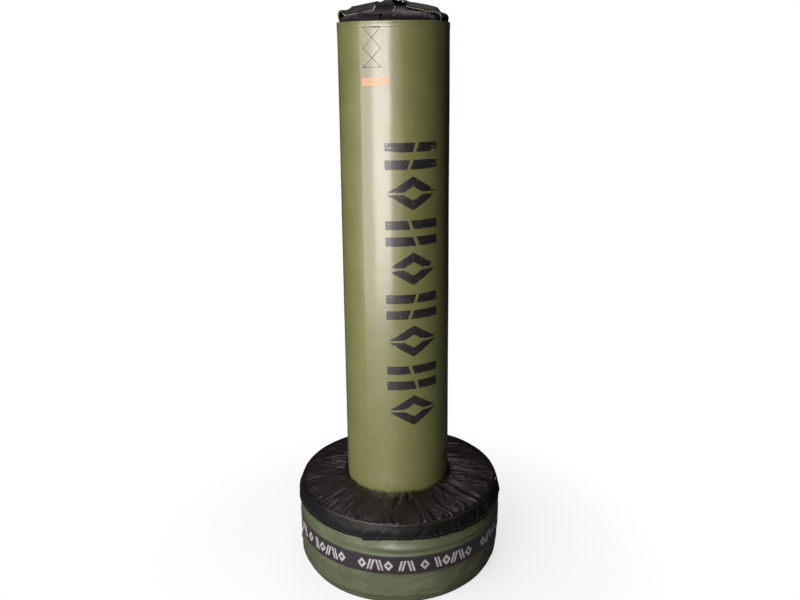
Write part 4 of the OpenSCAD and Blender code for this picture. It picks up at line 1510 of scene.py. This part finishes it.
def make_piping():
    azimuth = even_azimuths(540)
    pucker = round_noise(azimuth, azimuth * 0, 150, 1, 131)
    bend = round_noise(azimuth, azimuth * 0, 26, 1, 132)
    radius = PIPING_R + 0.5 * MM * bend + lopsided(azimuth)
    cord = round_cord("shoulder_piping", azimuth, radius, PIPING_Z + 1.0 * MM * bend,
                      PIPING_SIZE * (1 + 0.1 * pucker))
    dress(cord, piping_vinyl, "base", "black_vinyl", "cover_piping")


def make_elastic(strands=3, twists=90):
    bottom, top = levels_of("collar_elastic")
    size = (top - bottom) / 2
    azimuth = even_azimuths(720)
    middle_r, offset = high("collar_elastic").x - size, size * 0.45
    pieces = []
    for number in range(strands):
        phase = azimuth * twists + number * FULL_TURN / strands
        radius, height = middle_r + offset * np.cos(phase), bottom + size + offset * np.sin(phase)
        thick = np.full(len(azimuth), size * 0.55)
        pieces.append(round_cord("elastic_strand", azimuth, radius, height, thick, 6))
    dress(joined("collar_cord", pieces), elastic, "base", "elastic_cord", "collar_elastic")


def make_foams():
    bottom = low("collar_foam").z
    inner = TRUNK_R + 5 * MM
    section = [(SEAM_R - 7 * MM, bottom + 2 * MM), (SEAM_R - 6.5 * MM, bottom + 20 * MM),
               (SEAM_R - 8 * MM, FOAM_SHOULDER_Z)]
    section += [(r, z - 14.5 * MM) for r, z in crown_line() if TRUNK_R + 14 * MM < r < SEAM_R - 9 * MM]
    section += [(TRUNK_R + 11 * MM, CROWN - 24 * MM), (TRUNK_R + 11 * MM, CROWN - 31 * MM),
                (inner, CROWN - 36 * MM), (inner, bottom + 2 * MM), (inner + 3 * MM, bottom + 0.3 * MM),
                (SEAM_R - 10 * MM, bottom + 0.3 * MM)]
    outline = spaced(np.array(section + section[:1]), 6 * MM)[:-1]
    pad = turned("crown_foam", outline, even_azimuths(180), lumpy(0.5 * MM, 16, 0.04, 141))
    dress(pad, foam, "base", "foam", "collar_foam")
    tyre_side = min(math.hypot(v.co.x, v.co.y) for v in frame["nodes"]["side_foam"].data.vertices)
    ring("side_padding", "side_foam", foam, "foam", (tyre_side + 0.2 * MM, PADDING_OUT),
         levels_of("side_foam"), 1 * MM, 14 * MM, 180, body="base")


# ---- Rigid parts, which keep their CAD shapes ----

RIGID = {
    concrete: ("ballast",),
    rubber: ("tyre",),
    painted_steel: ("lower_plate", "upper_plate", "post_flange", "post"),
    zinc: ("tie_bolts", "tie_washers", "tie_nuts", "post_bolts", "post_nuts", "flange_screws"),
    pvc: ("core_tube", "core_flange"),
    polyethylene: ("thrust_disc", "lower_bush", "upper_bush"),
    black_plastic: ("post_cap", "core_cap"),
    wood: ("trunk_board",),
}


def dress_rigid_parts():
    for look, nodes in RIGID.items():
        for node in nodes:
            dress(frame["nodes"][node], look)


# ---- Studio ----

WARM = (1.0, 0.915, 0.935)
WHITE = (1, 1, 1, 1)

# Soft boxes: name, direction and elevation in degrees, distance, width, height, power and height aimed at
LIGHTS = (
    ("key", -43, 0, 2.6, 3.5, 2.5, 102, 1.3),
    ("key_middle", -25, 0, 2.5, 1.55, 1.9, 61, 1.25),
    ("key_soft", 0, 0, 2.5, 1.2, 1.9, 9, 1.25),
    ("above_right", 160, 62, 3.0, 1.3, 1.2, 20, 0.9),
    ("above_left", -160, 62, 3.0, 1.3, 1.2, 20, 0.9),
)


def make_floor():
    """A pale round floor: it takes the bag's shadow close by, and further out is as pale as the room."""
    look = Look("studio_floor", (0.8, 0.8, 0.8), 0.75)
    pale = look.mixed(look.noise(look.place, 30.0, 4.0), (0.8, 0.8, 0.8), (0.86, 0.86, 0.86))
    seen = look.add("LightPath").outputs["Is Camera Ray"]
    look.finished(look.mixed(seen, (0.06, 0.06, 0.06), pale))
    far = look.add("VectorMath", {0: look.place}, operation="LENGTH").outputs["Value"]
    share = look.maths("MULTIPLY", look.remap(far, 0.3, 0.9, 0.72, 1.0), seen)
    glow = look.add("Emission", {"Color": WHITE, "Strength": 1.0}).outputs[0]
    blended = look.add("MixShader", {0: share, 1: look.shader.outputs[0], 2: glow}).outputs[0]
    look.tree.links.new(blended, look.tree.nodes["Material Output"].inputs["Surface"])
    rings = np.concatenate([[0.02], np.linspace(0.5, 14, 24)])
    azimuths = even_azimuths(96)
    grid_a, grid_r = np.meshgrid(azimuths, rings, indexing="ij")
    points = cylindrical(grid_a, grid_r, np.zeros(grid_r.shape))[:, ::-1]
    floor = grid_piece("floor", points, np.arange(len(azimuths)), np.arange(len(rings)), False)
    floor.data.materials.append(look.material)


def soft_light(name, azimuth, elevation, distance, wide, tall, power, aim_z):
    """A soft box seen from the bag in that direction, turned to face the bag at the height aim_z."""
    light = bpy.data.lights.new(name, "AREA")
    light.shape = "RECTANGLE"
    light.size, light.size_y = wide, tall
    light.energy = power
    light.color = WARM
    lamp = bpy.data.objects.new(name, light)
    lamp.visible_camera = False
    turn, up = math.radians(azimuth), math.radians(elevation)
    away = Vector((math.cos(up) * math.sin(turn), -math.cos(up) * math.cos(turn), math.sin(up)))
    lamp.location = Vector((0, 0, aim_z)) + away * distance
    lamp.rotation_euler = away.to_track_quat("Z", "Y").to_euler()
    bpy.context.scene.collection.objects.link(lamp)


def make_world():
    """A white room to the camera, and a dim one to the bag."""
    world = bpy.data.worlds.new("studio")
    bpy.context.scene.world = world
    world.use_nodes = True
    nodes = Nodes(world.node_tree)
    background = nodes.tree.nodes["Background"]
    seen = nodes.add("LightPath").outputs["Is Camera Ray"]
    nodes.tree.links.new(nodes.remap(seen, 0, 1, 0.008, 1.0), background.inputs["Strength"])
    background.inputs["Color"].default_value = WHITE


def make_camera():
    """The photograph's own view: a standing eye, looking a little down, with a slight roll."""
    camera = bpy.data.cameras.new("camera")
    camera.lens, camera.sensor_width = 35.53, 36.0
    camera.shift_x, camera.shift_y = 0.0053, -0.0573
    viewer = bpy.data.objects.new("camera", camera)
    viewer.location = (0, -2.434, 1.615)
    viewer.rotation_euler = (math.radians(90 - 13.42), 0, 0)
    viewer.rotation_euler.rotate_axis("Z", math.radians(-0.576))
    bpy.context.scene.collection.objects.link(viewer)
    bpy.context.scene.camera = viewer


make_trunk_skin()
make_trunk_stitching()
make_prints()
for strap_body in STRAPS:
    make_strap(strap_body)
make_trunk_inside()
make_top_cloth()
make_base_cover()
make_elastic()
make_foams()
dress_rigid_parts()
make_floor()
for box in LIGHTS:
    soft_light(*box)
make_world()
make_camera()
bpy.context.scene.view_settings.view_transform = "Standard"
